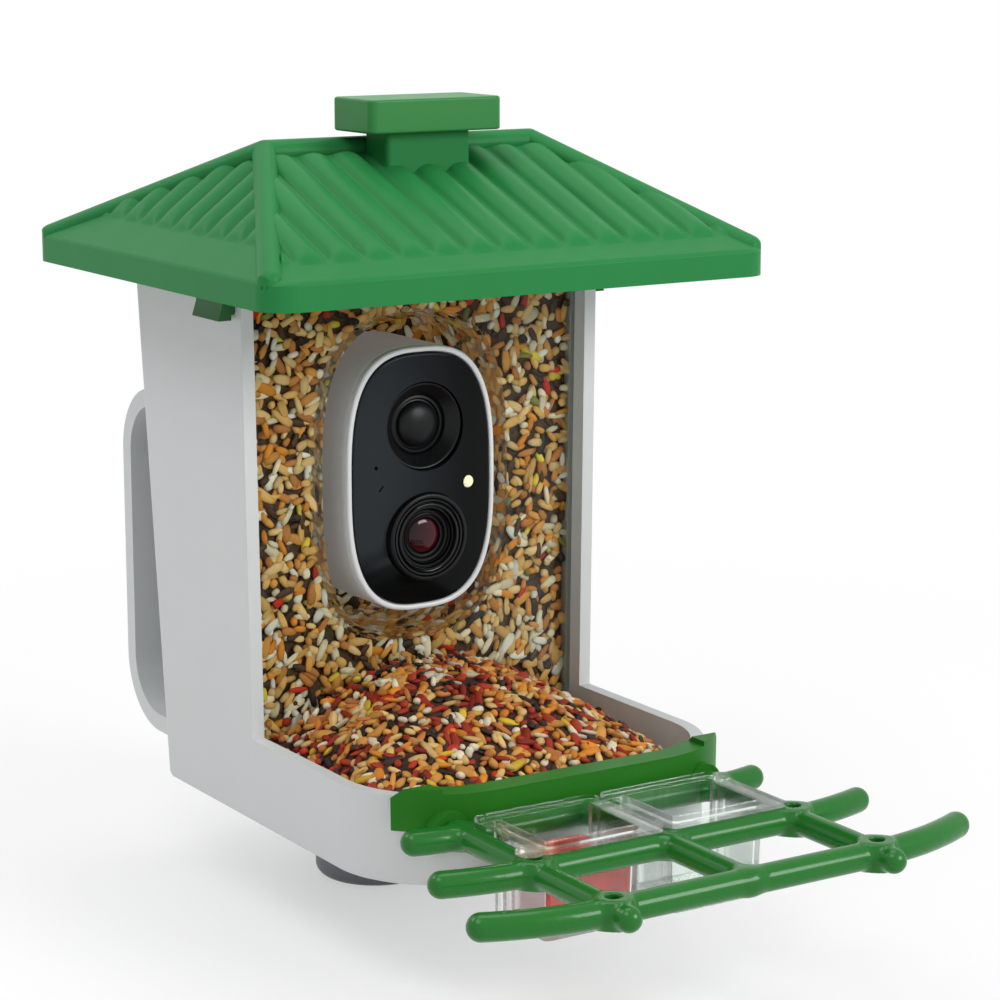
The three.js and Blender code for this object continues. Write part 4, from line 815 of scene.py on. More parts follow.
def skin(distance, low, high, cell):
    """A closed mesh where distance is zero: one point in each crossed cell, then pulled onto the surface."""
    axes = [np.arange(a, b + cell, cell) for a, b in zip(low, high)]
    grid = np.stack(np.meshgrid(*axes, indexing="ij"), axis=-1)
    shape = grid.shape[:3]
    value = distance(grid.reshape(-1, 3)).reshape(shape)
    cells = tuple(n - 1 for n in shape)
    total = np.zeros(cells + (3,))
    count = np.zeros(cells)
    crossings = []
    for axis in range(3):
        ahead = [slice(None)] * 3
        behind = [slice(None)] * 3
        ahead[axis] = slice(1, None)
        behind[axis] = slice(None, -1)
        a, b = value[tuple(behind)], value[tuple(ahead)]
        crossed = (a < 0) != (b < 0)
        share = np.where(crossed, a / np.where(crossed, a - b, 1), 0)
        point = grid[tuple(behind)].copy()
        point[..., axis] += share * cell
        crossings.append((crossed, a < 0))
        others = [other for other in range(3) if other != axis]
        for i in (0, 1):
            for j in (0, 1):
                window = [slice(None)] * 3
                window[others[0]] = slice(i, i + cells[others[0]])
                window[others[1]] = slice(j, j + cells[others[1]])
                here = crossed[tuple(window)]
                total += np.where(here[..., None], point[tuple(window)], 0)
                count += here
    used = count > 0
    index = np.full(cells, -1)
    index[used] = np.arange(used.sum())
    points = total[used] / count[used][:, None]
    faces = []
    for axis, (crossed, start_inside) in enumerate(crossings):
        u, v = (axis + 1) % 3, (axis + 2) % 3
        places = np.argwhere(crossed)
        keep = (places[:, u] > 0) & (places[:, v] > 0) & (places[:, u] < cells[u]) & (places[:, v] < cells[v])
        places = places[keep]
        inside = start_inside[tuple(places.T)]
        corners = []
        for du, dv in ((1, 1), (0, 1), (0, 0), (1, 0)):
            cell_place = places.copy()
            cell_place[:, u] -= du
            cell_place[:, v] -= dv
            corners.append(index[tuple(cell_place.T)])
        quad = np.stack(corners, axis=1)
        quad[~inside] = quad[~inside][:, ::-1]
        faces.append(quad)
    faces = np.concatenate(faces)
    nudge = cell / 8
    for _ in range(4):
        here = distance(points)
        slope = np.stack(
            [(distance(points + step) - distance(points - step)) / (2 * nudge) for step in np.eye(3) * nudge],
            axis=1,
        )
        points = points - slope * (here / np.maximum((slope**2).sum(axis=1), 0.2))[:, None]
    return solid(points.tolist(), faces.tolist())


def bar_line(i):
    """The points that a bar runs through, from its left tip to its right."""
    reach, tip, sweep = BAR_REACHES[i], BAR_TIPS[i], BAR_SWEEPS[i]
    curve = []
    for step in range(1, 9):
        share = step / 8
        curve.append((ARM_ACROSS + (tip - ARM_ACROSS) * share, sweep * share**2 - reach, PERCH_HEIGHT))
    left = [(-x, y, z) for x, y, z in reversed(curve)]
    return [*left, (-ARM_ACROSS, -reach, PERCH_HEIGHT), (ARM_ACROSS, -reach, PERCH_HEIGHT), *curve]


def perch_distance(points):
    """How far each point is outside the perch: arms, bars, posts with their holes."""
    nearest = np.full(len(points), 1e3)
    for x in (-ARM_ACROSS, 0, ARM_ACROSS):
        start = -FIT - (SOCKET_REACH if x else RAIL_REACH)
        end = -ARM_REACH if x else -BAR_REACHES[-1]
        arm = capsule(points, (x, start, PERCH_HEIGHT), (x, end, PERCH_HEIGHT), ARM_RADIUS)
        nearest = np.minimum(nearest, np.maximum(arm, points[:, 1] - start))
    for i, radius in enumerate(BAR_RADII):
        line = bar_line(i)
        bar = np.min([capsule(points, a, b, radius) for a, b in zip(line, line[1:])], axis=0)
        nearest = melt(nearest, bar, 3.0)
    holes = np.full(len(points), 1e3)
    for side in SIDES:
        for i in (1, 2):
            off = np.hypot(points[:, 0] - side * ARM_ACROSS, points[:, 1] + BAR_REACHES[i])
            level = points[:, 2] - PERCH_HEIGHT
            post = np.maximum(off - JUNCTION_RADIUS, np.abs(level) - BAR_RADII[i])
            nearest = melt(nearest, post, 2.5)
            bore = np.maximum(off - JUNCTION_HOLE, (BAR_RADII[i] - JUNCTION_DEPTH) - level)
            holes = np.minimum(holes, bore)
    top = points[:, 2] - (PERCH_HEIGHT + BAR_RADII[1] + 0.4)
    flat = -melt(-nearest, -top, 0.6)
    return -melt(-flat, holes, 0.5)


perch = skin(perch_distance, *PERCH_SPACE, PERCH_CELL)
perch.data.shade_smooth()
dress(perch, "perch_branches", perch_green, "perch_frame")


# Perch rail along the tray's front wall

RAIL_LOW = 20.5
RAIL_TOP = 33.3
RAIL_END = 87
RAIL_THICKNESS = 4.5
BLOCK_TOP = 35
BLOCK_ACROSS = 53
SOCKET_RADIUS = 6.6


def tray_space():
    """The tray's room, with its fit gap, that the perch rail goes round."""
    return loft([footprint(0, -FIT), footprint(TRAY_HEIGHT + FIT, -FIT)])


def perch_rail():
    across = 100
    behind = prism("z", rectangle(-across, across, -RAIL_END, 120), 0, 60)
    middle = prism("z", rectangle(-BLOCK_ACROSS, BLOCK_ACROSS, -130, 0), RAIL_TOP, 60)
    slant = prism("x", [(-91.4, 36), (-86, 30.6), (-80, 30.6), (-80, 36)], -across, across)
    lip = loft([footprint(29, BODY_WALL), footprint(40, BODY_WALL)])
    band = loft([footprint(z, -RAIL_THICKNESS) for z in (RAIL_LOW, BLOCK_TOP)])
    band = cut(band, tray_space(), lip, middle, slant, behind)
    sockets = []
    for side in SIDES:
        socket = disc("y", SOCKET_RADIUS, -SOCKET_REACH, -RAIL_END, (side * ARM_ACROSS, 0, PERCH_HEIGHT), 40)
        sockets.append(cut(socket, tray_space()))
    return join(band, *sockets)


dress(softened(perch_rail(), 0.8, 3), "perch_rail_moulding", rail_green, "perch_rail")


# Cups and jelly

CUP_REST = 26.6
CUP_FLANGE = 1.4
CUP_DEPTH = 33
CUP_WALL = 1.6
CUP_DRAFT = 0.6
CUP_RADIUS = 3
CUP_SPACING = 49.5
CUP_BASIN = (6, 43.5, -144.8, -112.1)  # left, right, front and back of the right cup's outside
CUP_RIM = (1, 48.5, -151.5, -108.2)
JELLY_DEPTH = 21


def cup_plan(inset):
    left, right, front, back = CUP_BASIN
    radius = max(CUP_RADIUS - inset, LEAST_RADIUS)
    return rectangle(left + inset, right - inset, front + inset, back - inset, radius)


def cup(tab):
    flange = rectangle(*CUP_RIM, CUP_RADIUS)
    top = CUP_REST + CUP_FLANGE
    floor = top - CUP_DEPTH
    parts = [
        prism("z", flange, CUP_REST, top),
        loft([raised(cup_plan(CUP_DRAFT), floor), raised(cup_plan(0), CUP_REST + 1)]),
    ]
    if tab:
        parts.append(disc("z", 4.6, CUP_REST, top, (-1.3, -146.9, 0), 48))
    inner = loft([
        raised(cup_plan(CUP_DRAFT + CUP_WALL), floor + CUP_WALL),
        raised(cup_plan(CUP_WALL), top + 1),
    ])
    return softened(cut(join(*parts), inner), 0.4, 3)


def shifted(thing, across):
    thing.data.transform(Matrix.Translation((across * MM, 0, 0)))
    return thing


dress(cup(False), "cup_right_moulding", clear_plastic, "cup_right")
dress(shifted(cup(True), -CUP_SPACING), "cup_left_moulding", clear_plastic, "cup_left")


def jelly_finish():
    constants = {"Roughness": 0.16, "Subsurface Weight": 0.35, "Subsurface Scale": 0.006, "Coat Weight": 0.6}
    finish = Finish("fruit jelly", constants)
    cloud = finish.cloud(7, 4.0)
    finish.feed({
        "Base Color": finish.blend(cloud, tone("c4141f"), tone("e04a44")),
        "Normal": finish.relief(finish.cloud(3.5, 3.0), 0.5),
    })
    return finish


def jelly():
    low = CUP_REST + CUP_FLANGE - CUP_DEPTH + CUP_WALL + FIT
    high = low + JELLY_DEPTH
    wide = CUP_DRAFT + CUP_WALL + FIT
    narrow = CUP_DRAFT * (1 - JELLY_DEPTH / CUP_DEPTH) + CUP_WALL + FIT
    rings = [raised(cup_plan(wide), low), raised(cup_plan(narrow), high - 1.2)]
    rim = np.array(cup_plan(narrow))
    centre = rim.mean(axis=0)
    for share in (0.985, 0.95, 0.85, 0.7, 0.5, 0.3, 0.12):
        ring = []
        for x, y in centre + (rim - centre) * share:
            ripple = math.sin(x * 0.9) * math.cos(y * 0.7) * 0.5 + math.sin(x * 0.37 + y * 0.5) * 0.5
            ring.append((x, y, high - 0.9 + ripple * 0.8 * (1 - share**4)))
        rings.append(ring)
    return shifted(softened(loft(rings), 0), -CUP_SPACING)


dress(jelly(), "jelly_filling", jelly_finish(), "jelly")


# Bracket, collar and thumbscrew

BRACKET_LOW, BRACKET_HIGH = 12, 143
BRACKET_REACH = 115
BRACKET_THICKNESS = 6.5
BRACKET_RADIUS = 26
BRACKET_HALF_WIDTH = 65
BRACKET_FOOT = 15
FOOT_THICKNESS = 5


def rear_bracket():
    def wall(z):
        return back_at(z) + FIT

    low, high, reach = BRACKET_LOW, BRACKET_HIGH, BRACKET_REACH
    thickness, radius = BRACKET_THICKNESS, BRACKET_RADIUS
    foot_top, foot_low, foot, foot_thick = high - thickness, low + thickness, BRACKET_FOOT, FOOT_THICKNESS
    band = filleted([
        (wall(low), low, 0),
        (reach, low, radius),
        (reach, high, radius),
        (wall(high), high, 0),
        (wall(foot_top - foot), foot_top - foot, 0),
        (wall(foot_top - foot) + foot_thick, foot_top - foot, 0),
        (wall(foot_top) + foot_thick, foot_top, 3),
        (reach - thickness, foot_top, radius - thickness),
        (reach - thickness, foot_low, radius - thickness),
        (wall(foot_low) + foot_thick, foot_low, 3),
        (wall(foot_low + foot) + foot_thick, foot_low + foot, 0),
        (wall(foot_low + foot), foot_low + foot, 0),
    ], 20)
    return prism("x", band, -BRACKET_HALF_WIDTH, BRACKET_HALF_WIDTH)


dress(softened(rear_bracket(), 1.2, 3), "bracket_band", body_grey, "rear_bracket")


COLLAR_RADIUS = 23
COLLAR_BORE = 16.5
COLLAR_LOW = -40
SCREW_PLACE = (0, POLE_BACK, -22)
SCREW_RADIUS = 3


def pole_collar():
    profile = filleted([
        (COLLAR_RADIUS, -FIT, 0.6),
        (COLLAR_BORE, -FIT, 0.4),
        (COLLAR_BORE, COLLAR_LOW, 0.8),
        (COLLAR_RADIUS, COLLAR_LOW, 4),
    ], 8)
    collar = turned("z", profile, (0, POLE_BACK, 0), 96, closed=True)
    return cut(collar, disc("y", SCREW_RADIUS + FIT, 0, COLLAR_RADIUS + 1, SCREW_PLACE, 32))


dress(softened(pole_collar(), 0), "collar_moulding", collar_grey, "pole_collar")


def thumbscrew():
    def lobed(inset, y):
        ring = []
        for step in range(120):
            angle = 2 * math.pi * step / 120
            reach = 9 - inset + 0.9 * math.cos(6 * angle)
            place = (reach * math.cos(angle), y, reach * math.sin(angle))
            ring.append(tuple(a + b for a, b in zip(place, SCREW_PLACE)))
        return ring

    tip = [(0, 16.5), (2.4, 16.5), (SCREW_RADIUS, 17.1)]
    profile = [*tip, (SCREW_RADIUS, 23.3), (5, 23.3), (5, 28), (0, 28)]
    stem = turned("y", profile, SCREW_PLACE, 40)
    levels = ((0.8, 27), (0, 27.8), (0, 35.4), (0.5, 36.5), (1.4, 37), (5, 36.6))
    knob = loft([lobed(*level) for level in levels])
    return softened(join(stem, knob), 0)


dress(thumbscrew(), "thumbscrew_knob", satin_black, "collar_thumbscrew")


# Camera. Depths run back from the bezel's front, 2.6 mm behind the side walls' front edge.

BEZEL_FRONT = 2.6
CAMERA_HALF_WIDTH = 30.75
CAMERA_HALF_HEIGHT = 48
CASE_WALL = 2.4
CASE_STRAIGHT = 43.3  # how far back the case's side runs before it rounds over
CASE_ROUND = 5
BUTTON_DEPTH = 35
BUTTON_HOLE = 4.3
FACE_BULGE = 3.6
MOTION_PLACE = (0, 19.4)
MOTION_HOLE = 16
LENS_PLACE = (0, -20.6)
LENS_HOLE = 16.3
LIGHT_PLACE = (18.5, -2.6)
LIGHT_HOLE = 2.6
MICROPHONE_PLACE = (-20, 6)
MICROPHONE_HOLE = 0.7
SLIT_PLACE = (-18.2, -1.6)
SLIT_TURN = 52


def camera_oval(inset, depth):
    """The camera's outline, drawn in by inset."""
    outline = oval(CAMERA_HALF_WIDTH - inset, CAMERA_HALF_HEIGHT - inset, CAMERA_HEIGHT)
    return upright(outline, BEZEL_FRONT + depth)


def facing(profile, place, name, finish, *nodes, steps=ROUND_STEPS, closed=False, **carried):
    """Dresses a turned piece of the camera's front at (across, up). Its profile lists (radius, depth)."""
    across, up = place
    made = turned("y", profile, (across, BEZEL_FRONT, CAMERA_HEIGHT + up), steps, closed)
    return dress(softened(made, 0), name, finish, *nodes, **carried)


def camera_body():
    outside = [camera_oval(0.5, 3.3), camera_oval(0, 3.7)]
    for step in range(9):
        angle = math.radians(90 * step / 8)
        inset = CASE_ROUND * (1 - math.cos(angle))
        outside.append(camera_oval(inset, CASE_STRAIGHT + CASE_ROUND * math.sin(angle)))
    inside = [camera_oval(CASE_WALL, 2.3), camera_oval(CASE_WALL, CASE_STRAIGHT), camera_oval(4.9, 45.9)]
    low = CAMERA_HEIGHT - CAMERA_HALF_HEIGHT
    port = rectangle(-3.8, 3.8, BEZEL_FRONT + 21.1, BEZEL_FRONT + 22.9, 0.8)
    return cut(
        loft(outside),
        loft(inside),
        prism("z", port, low - 1, low + 3.4),
        disc("z", BUTTON_HOLE, low - 1, low + 20, (0, BEZEL_FRONT + BUTTON_DEPTH, 0), 40),
    )


dress(softened(camera_body(), 0), "camera_case", camera_grey, "camera_shell")

bezel_rings = [camera_oval(inset, depth) for inset, depth in (
    (0, 3.0), (0, 0.9), (0.25, 0.3), (0.8, 0), (1.5, 0.05), (1.95, 0.45), (2.1, 1.0), (2.1, 3.0))]
dress(softened(loft(bezel_rings, closed=True), 0), "bezel_ring", bezel_white, "bezel")


def camera_face():
    """The domed front, with holes for the motion sensor, lens, light and microphone."""
    width = CAMERA_HALF_WIDTH - CASE_WALL
    height = CAMERA_HALF_HEIGHT - CASE_WALL

    def dome(share, drop=0.0):
        depth = BEZEL_FRONT - FACE_BULGE * (1 - share**2) + drop
        return upright(oval(width * share, height * share, CAMERA_HEIGHT), depth)

    rings = [upright(oval(width, height, CAMERA_HEIGHT), BEZEL_FRONT + 3), dome(1, 0.25)]
    rings += [dome(share) for share in (0.994, 0.98, *np.linspace(0.95, 0.05, 19))]
    front = BEZEL_FRONT - 8
    back = BEZEL_FRONT + 5
    holes = []
    for (across, up), radius, steps in (
        (MOTION_PLACE, MOTION_HOLE, 96),
        (LENS_PLACE, LENS_HOLE, 96),
        (LIGHT_PLACE, LIGHT_HOLE, 32),
        (MICROPHONE_PLACE, MICROPHONE_HOLE, 20),
    ):
        holes.append(disc("y", radius, front, back, (across, 0, CAMERA_HEIGHT + up), steps))
    slit = rectangle(-1.3, 1.3, -0.28, 0.28, 0.27)
    c, s = math.cos(math.radians(SLIT_TURN)), math.sin(math.radians(SLIT_TURN))
    across, up = SLIT_PLACE
    slit = [(u * c - v * s + across, u * s + v * c + CAMERA_HEIGHT + up) for u, v in slit]
    return cut(loft(rings), *holes, prism("y", slit, front, BEZEL_FRONT - 0.9))


def face_finish():
    """Gloss black whose colour is painted greyer on its upper left, a painted reflection of the paler side of
    the room.
    """
    finish = Finish("face gloss black", {"Specular IOR Level": 0.08})
    place = finish.place()
    across = finish.along(place, 0) / MM
    height = finish.along(place, 2) / MM - CAMERA_HEIGHT
    # Painted reflection: the grey share fades towards the right and down below the lens.
    upper = ((height + 34) / 12).share()
    share = (0.5 - across / 44).share() * (0.15 + upper * 0.85)
    haze = finish.cloud(14, 3.0)
    finish.feed({
        "Base Color": finish.blend(share * share * (3 - 2 * share), tone("08090a"), tone("2b3034")),
        "Roughness": 0.07 + haze * 0.08,
    })
    return finish


dress(softened(camera_face(), 0), "camera_face", face_finish(), "face")

cone_profile = [
    (11, 5.4), (15.7, 5.4), (15.7, -0.8), (15.45, -1.1), (15.0, -1.05), (14.6, -0.6), (11.5, 2.6), (11, 3.2),
]
facing(cone_profile, MOTION_PLACE, "motion_cone_moulding", satin_black, "motion_cone", closed=True)


def cap(radius, depth, height, steps):
    """The profile of a round cap, from its rim to its middle."""
    angles = [math.radians(90 * (steps - step) / steps) for step in range(steps + 1)]
    return [(radius * math.sin(angle), depth - height * math.cos(angle)) for angle in angles]


dome_profile = [(0, 5.4), (10.7, 5.4), (10.7, 3.6), (10.2, 3.2), (9.5, 3.2), (9.1, 3.7), (8.9, 4.0)]
dome_profile += cap(8.5, 3.9, 3.6, 10)
facing(dome_profile, MOTION_PLACE, "motion_lens", satin_black, "motion_dome")

barrel_profile = [
    (0, 7.7), (8, 7.7), (8, 10.7), (16, 10.7), (16, -4.5), (15.7, -5.0), (15.1, -5.2), (14.5, -5.1),
    (14.3, -4.6), (14.3, -3.4), (10.4, -3.4), (10.4, 1.4), (0, 1.4),
]
facing(barrel_profile, LENS_PLACE, "lens_barrel_moulding", satin_black, "lens_barrel")

ring_profile = [
    (14.1, -3.9), (14.1, -4.6), (13.8, -4.9), (13.2, -4.8), (12.9, -4.2), (12.5, -4.1), (12.3, -4.7),
    (12.1, -4.9), (11.5, -4.9), (11.2, -4.4), (11.1, -3.7),
]
facing(ring_profile, LENS_PLACE, "lens_front_ring", gloss_black, "lens_ring", closed=True)

baffle_profile = [
    (10.1, 1.0), (10.1, -2.4), (9.8, -2.7), (9.5, -2.4), (9.3, -1.6), (8.6, -1.5), (8.4, -1.9), (8.1, -2.0),
    (7.9, -1.6), (7.7, -0.9), (7.2, -0.8), (7.0, -1.1), (6.8, -1.1), (6.6, -0.7), (6.6, 1.0),
]
facing(
    baffle_profile, LENS_PLACE, "lens_baffle_rings", satin_black,
    closed=True, body="camera", slot="satin_black")


def lens_finish():
    """Coated glass: black, with a painted red to violet reflection in its colour that grows towards the
    slanted edge.
    """
    finish = Finish("coated lens glass", {"Roughness": 0.05, "Specular IOR Level": 0.3})
    slant = finish.node("ShaderNodeLayerWeight", None, {"Blend": 0.35}, "Facing")
    # Painted reflection of the coating, by how far the glass is seen at a slant.
    stops = [(0.0, "120306"), (0.25, "4a080f"), (0.5, "220410"), (0.8, "100818")]
    finish.feed({"Base Color": finish.node("ShaderNodeValToRGB", {"stops": stops}, {"Fac": slant})})
    return finish


glass_profile = [(0, 1.1), (6.5, 1.1), (6.5, -0.2), *cap(6.4, -0.3, 1.5, 9)]
facing(glass_profile, LENS_PLACE, "lens_front_glass", lens_finish(), "lens_glass")


def light_finish():
    finish = Finish("status light pipe", {"Roughness": 0.3, "Emission Strength": 0.2})
    cells = finish.cloud(0.7, 1.0)
    warm = finish.blend(cells, tone("fff9dc"), tone("f2e8b0"))
    finish.feed({"Base Color": warm, "Emission Color": warm})
    return finish


light_profile = [(0, 10.7), (2.3, 10.7), (2.3, -1.2), (2.1, -1.5), (1.6, -1.6), (0, -1.75)]
facing(light_profile, LIGHT_PLACE, "status_light_pipe", light_finish(), "status_light", steps=32)


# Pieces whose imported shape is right, with their edges softened

for node, (finish, width) in {
    "seed_ramp": (body_grey, 0.3),
    "camera_dock": (body_grey, 0.4),
    "dock_magnet": (steel, 0.2),
    "roof_liner": (roof_green, 0.3),
    "roof_gasket": (rubber_grey, 0.3),
    "latch_left": (latch_green, 0.3),
    "latch_right": (latch_green, 0.3),
    "latch_pin_left": (steel, 0.2),
    "latch_pin_right": (steel, 0.2),
    "hinge_pin_left": (steel, 0.2),
    "hinge_pin_right": (steel, 0.2),
    "circuit_board": (board_green, 0),
    "motion_sensor": (steel, 0.3),
    "image_sensor": (satin_black, 0.2),
    "battery_pack": (battery_blue, 0.8),
    "speaker": (satin_black, 0.3),
    "charge_port": (steel, 0.1),
    "port_cover": (rubber_grey, 0.35),
    "power_button": (rubber_grey, 0.3),
}.items():
    dress(softened(copy_of(node), width), node + "_finished", finish, node)


# Screws: a node tree sets a crossed pan head and a shank at each place

HEAD_HEIGHT = 2.0
SHANK_RADIUS = 1.5


def screw_shapes():
    """A head that stands on the origin, and a shank 1 long below it."""
    origin = (0, POLE_BACK, 0)
    profile = [(0, 0), (3.2, 0), (3.2, 0.5), (2.9, 1.3), (2.2, 1.8), (1.1, HEAD_HEIGHT), (0, HEAD_HEIGHT)]
    arms = []
    for across, deep in ((1.7, 0.35), (0.35, 1.7)):
        arms.append(prism("z", rectangle(-across, across, POLE_BACK - deep, POLE_BACK + deep), 1.0, 2.5))
    head = softened(cut(turned("z", profile, origin, 24), join(*arms)), 0)
    profile = [(0, -1), (SHANK_RADIUS, -1), (SHANK_RADIUS, 0), (0, 0)]
    return head, softened(turned("z", profile, origin, 16), 0)


def screw_tree(head, shank):
    """Sets a head at each point, and stretches a shank to the length that the point asks for."""
    graph, (places,) = geometry_tree("screws", ())

    def given(name, kind):
        return graph.node("GeometryNodeInputNamedAttribute", {"data_type": kind}, {"Name": name})

    way = given("facing", "FLOAT_VECTOR")
    turn = graph.node("FunctionNodeAlignRotationToVector", {"axis": "Z"}, {"Vector": way})
    stretch = graph.node("ShaderNodeCombineXYZ", None, {0: 1.0, 1: 1.0, 2: given("length", "FLOAT")})
    both = graph.tree.nodes.new("GeometryNodeJoinGeometry")
    for shape, scale in ((head, (1.0, 1.0, 1.0)), (shank, stretch)):
        source = graph.node("GeometryNodeObjectInfo", None, {"Object": shape}, "Geometry")
        inputs = {"Points": places, "Instance": source, "Rotation": turn, "Scale": scale}
        placed = graph.node("GeometryNodeInstanceOnPoints", None, inputs)
        graph.tree.links.new(placed.socket, both.inputs[0])
    real = graph.node("GeometryNodeRealizeInstances", None, {0: Wire(graph, both.outputs[0])})
    return ended(graph, real, steel.material)


def keep_values(mesh, name, values, kind="FLOAT"):
    """Stores a value, or a vector, for each of a mesh's points."""
    part = "vector" if kind == "FLOAT_VECTOR" else "value"
    mesh.attributes.new(name, kind, "POINT").data.foreach_set(part, values)


def screw_set(name, groups, tree):
    """The screws of one body. Each group is a node's name start and the way that its heads face."""
    nodes = []
    places = []
    facings = []
    lengths = []
    for start, facing_way in groups:
        way = Vector(facing_way)
        for node in sorted(n for n in frame["nodes"] if n.startswith(start)):
            low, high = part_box(node)
            middle = (low + high) / 2
            length = abs((high - low).dot(way))
            nodes.append(node)
            places.append(middle + way * (length / 2 - HEAD_HEIGHT * MM))
            facings.append(way)
            lengths.append(length / MM - HEAD_HEIGHT)
    mesh = bpy.data.meshes.new(name)
    mesh.from_pydata([tuple(place) for place in places], [], [])
    keep_values(mesh, "facing", np.array(facings).ravel(), "FLOAT_VECTOR")
    keep_values(mesh, "length", lengths)
    dress(use_tree(linked(name, mesh), tree, {}), name, steel, *nodes)


shapes = screw_shapes()
screws = screw_tree(*shapes)
screw_set("house_screws", [
    ("dock_screw", (0, -1, 0)),
    ("bracket_screw", (0, -1, 0)),
    ("collar_screw", (0, 0, 1)),
    ("perch_screw", (0, 1, 0)),
], screws)
screw_set("roof_screws", [("roof_screw", (0, 0, -1)), ("ridge_screw", (0, 0, -1))], screws)
for shape in shapes:
    bpy.data.objects.remove(shape)


# Seed: grains scattered over a core that stands back from the window

SEED_LAYER = 2.6
SEED_SOFTNESS = 0.7  # how gently grains flatten where they press on clear plastic
SEED_TOP = 188
RAMP_FRONT = 14
WINDOW_BACK = WINDOW_SETBACK + WINDOW_THICKNESS + FIT / 2
POCKET_EDGE = 0.7  # from the pocket's inner face to where the grains behind the window end


def seed_finish(name, stops, dark, glow):
    """Mixed seed: each grain has its own kind and tone, and darkens towards its ends. It also glows in its
    own colour by glow, painted light that brightens grains lying in shade.
    """
    finish = Finish(name, {"Specular IOR Level": 0.25, "Emission Strength": glow})
    steps = {"interpolation": "CONSTANT", "stops": stops}
    kind = finish.node("ShaderNodeValToRGB", steps, {"Fac": finish.attribute("kind")})
    tip = ((finish.attribute("along") - 0.5).size() * 2) ** 3
    mottle = finish.cloud(1.1, 3.0)
    stripes = finish.attribute("stripe") * 0.15
    depth = tip * 0.35 + (1 - mottle) * 0.2 + (1 - finish.attribute("shade")) * 0.3 + stripes
    colour = finish.blend(depth.share(), kind, tone(dark))
    finish.feed({
        # Painted light: the grain's colour glows by the strength glow.
        "Base Color": colour,
        "Emission Color": colour,
        "Roughness": 0.42 + mottle * 0.3,
        "Normal": finish.relief(finish.cloud(0.5, 2.0), 0.12),
    })
    return finish


window_stops = [
    (0.0, "e8b468"), (0.2, "f0c98a"), (0.36, "e29c48"), (0.5, "c98040"),
    (0.6, "f2e2c0"), (0.72, "4a3322"), (0.79, "f6efe0"), (0.86, "e8902c"),
    (0.92, "1d1a18"), (0.955, "c92c1c"), (0.975, "e8cc3e"), (0.988, "84803a"),
]
heap_stops = [
    (0.0, "e2a04c"), (0.17, "f0c67e"), (0.31, "b03a20"), (0.43, "98260f"),
    (0.52, "cf8040"), (0.63, "3a271b"), (0.69, "f4e6c6"), (0.81, "ec9430"),
    (0.9, "1d1a18"), (0.94, "d23a24"), (0.97, "e8c03a"),
]
# The last number is each finish's painted glow. The pocket's finish is a brighter copy of the finish behind
# the window, and it gets the most because its grains lie in the deepest shade.
window_seed = seed_finish("window seed", window_stops, "3c2612", 0.1)
pocket_seed = seed_finish("seed round the pocket", window_stops, "3c2612", 0.16)
heap_seed = seed_finish("heap seed", heap_stops, "30170c", 0.05)


def grain(name, length, width, thickness, point, steps=8, rings=4):
    """A seed along X, more pointed at one end, whose points keep how far along it they are."""
    points = [(-length / 2, 0, 0)]
    for r in range(1, rings + 1):
        share = r / (rings + 1)
        reach = math.sin(math.pi * share) ** 0.7 * (1 - point * (share - 0.35))
        x = -math.cos(math.pi * share) * length / 2
        for k in range(steps):
            angle = 2 * math.pi * k / steps
            points.append((x, math.cos(angle) * width / 2 * reach, math.sin(angle) * thickness / 2 * reach))
    points.append((length / 2, 0, 0))
    last = len(points) - 1
    faces = []
    for k in range(steps):
        n = (k + 1) % steps
        faces.append((0, 1 + n, 1 + k))
        for r in range(rings - 1):
            a = 1 + r * steps
            faces.append((a + k, a + n, a + steps + n, a + steps + k))
        a = 1 + (rings - 1) * steps
        faces.append((a + k, a + n, last))
    mesh = bpy.data.meshes.new(name)
    mesh.from_pydata([(x * MM, y * MM, z * MM) for x, y, z in points], [], faces)
    keep_values(mesh, "along", [x / length + 0.5 for x, _, _ in points])
    stripes = [float(k % 4 == 0) for _ in range(rings) for k in range(steps)]
    keep_values(mesh, "stripe", [0.0, *stripes, 0.0])
    mesh.shade_smooth()
    return bpy.data.objects.new(name, mesh)


grains = bpy.data.collections.new("grains")
for name, *form in (
    ("grain_a", 7.2, 3.0, 2.1, 0.5),
    ("grain_b", 8.2, 2.6, 1.9, 0.2),
    ("grain_c", 6.0, 3.6, 2.2, 0.6),
    ("grain_d", 3.8, 3.2, 2.6, 0.0),
    ("grain_e", 9.4, 4.0, 2.4, 0.6),
    ("grain_f", 5.2, 2.6, 1.9, 0.3),
):
    grains.objects.link(grain(name, *form))


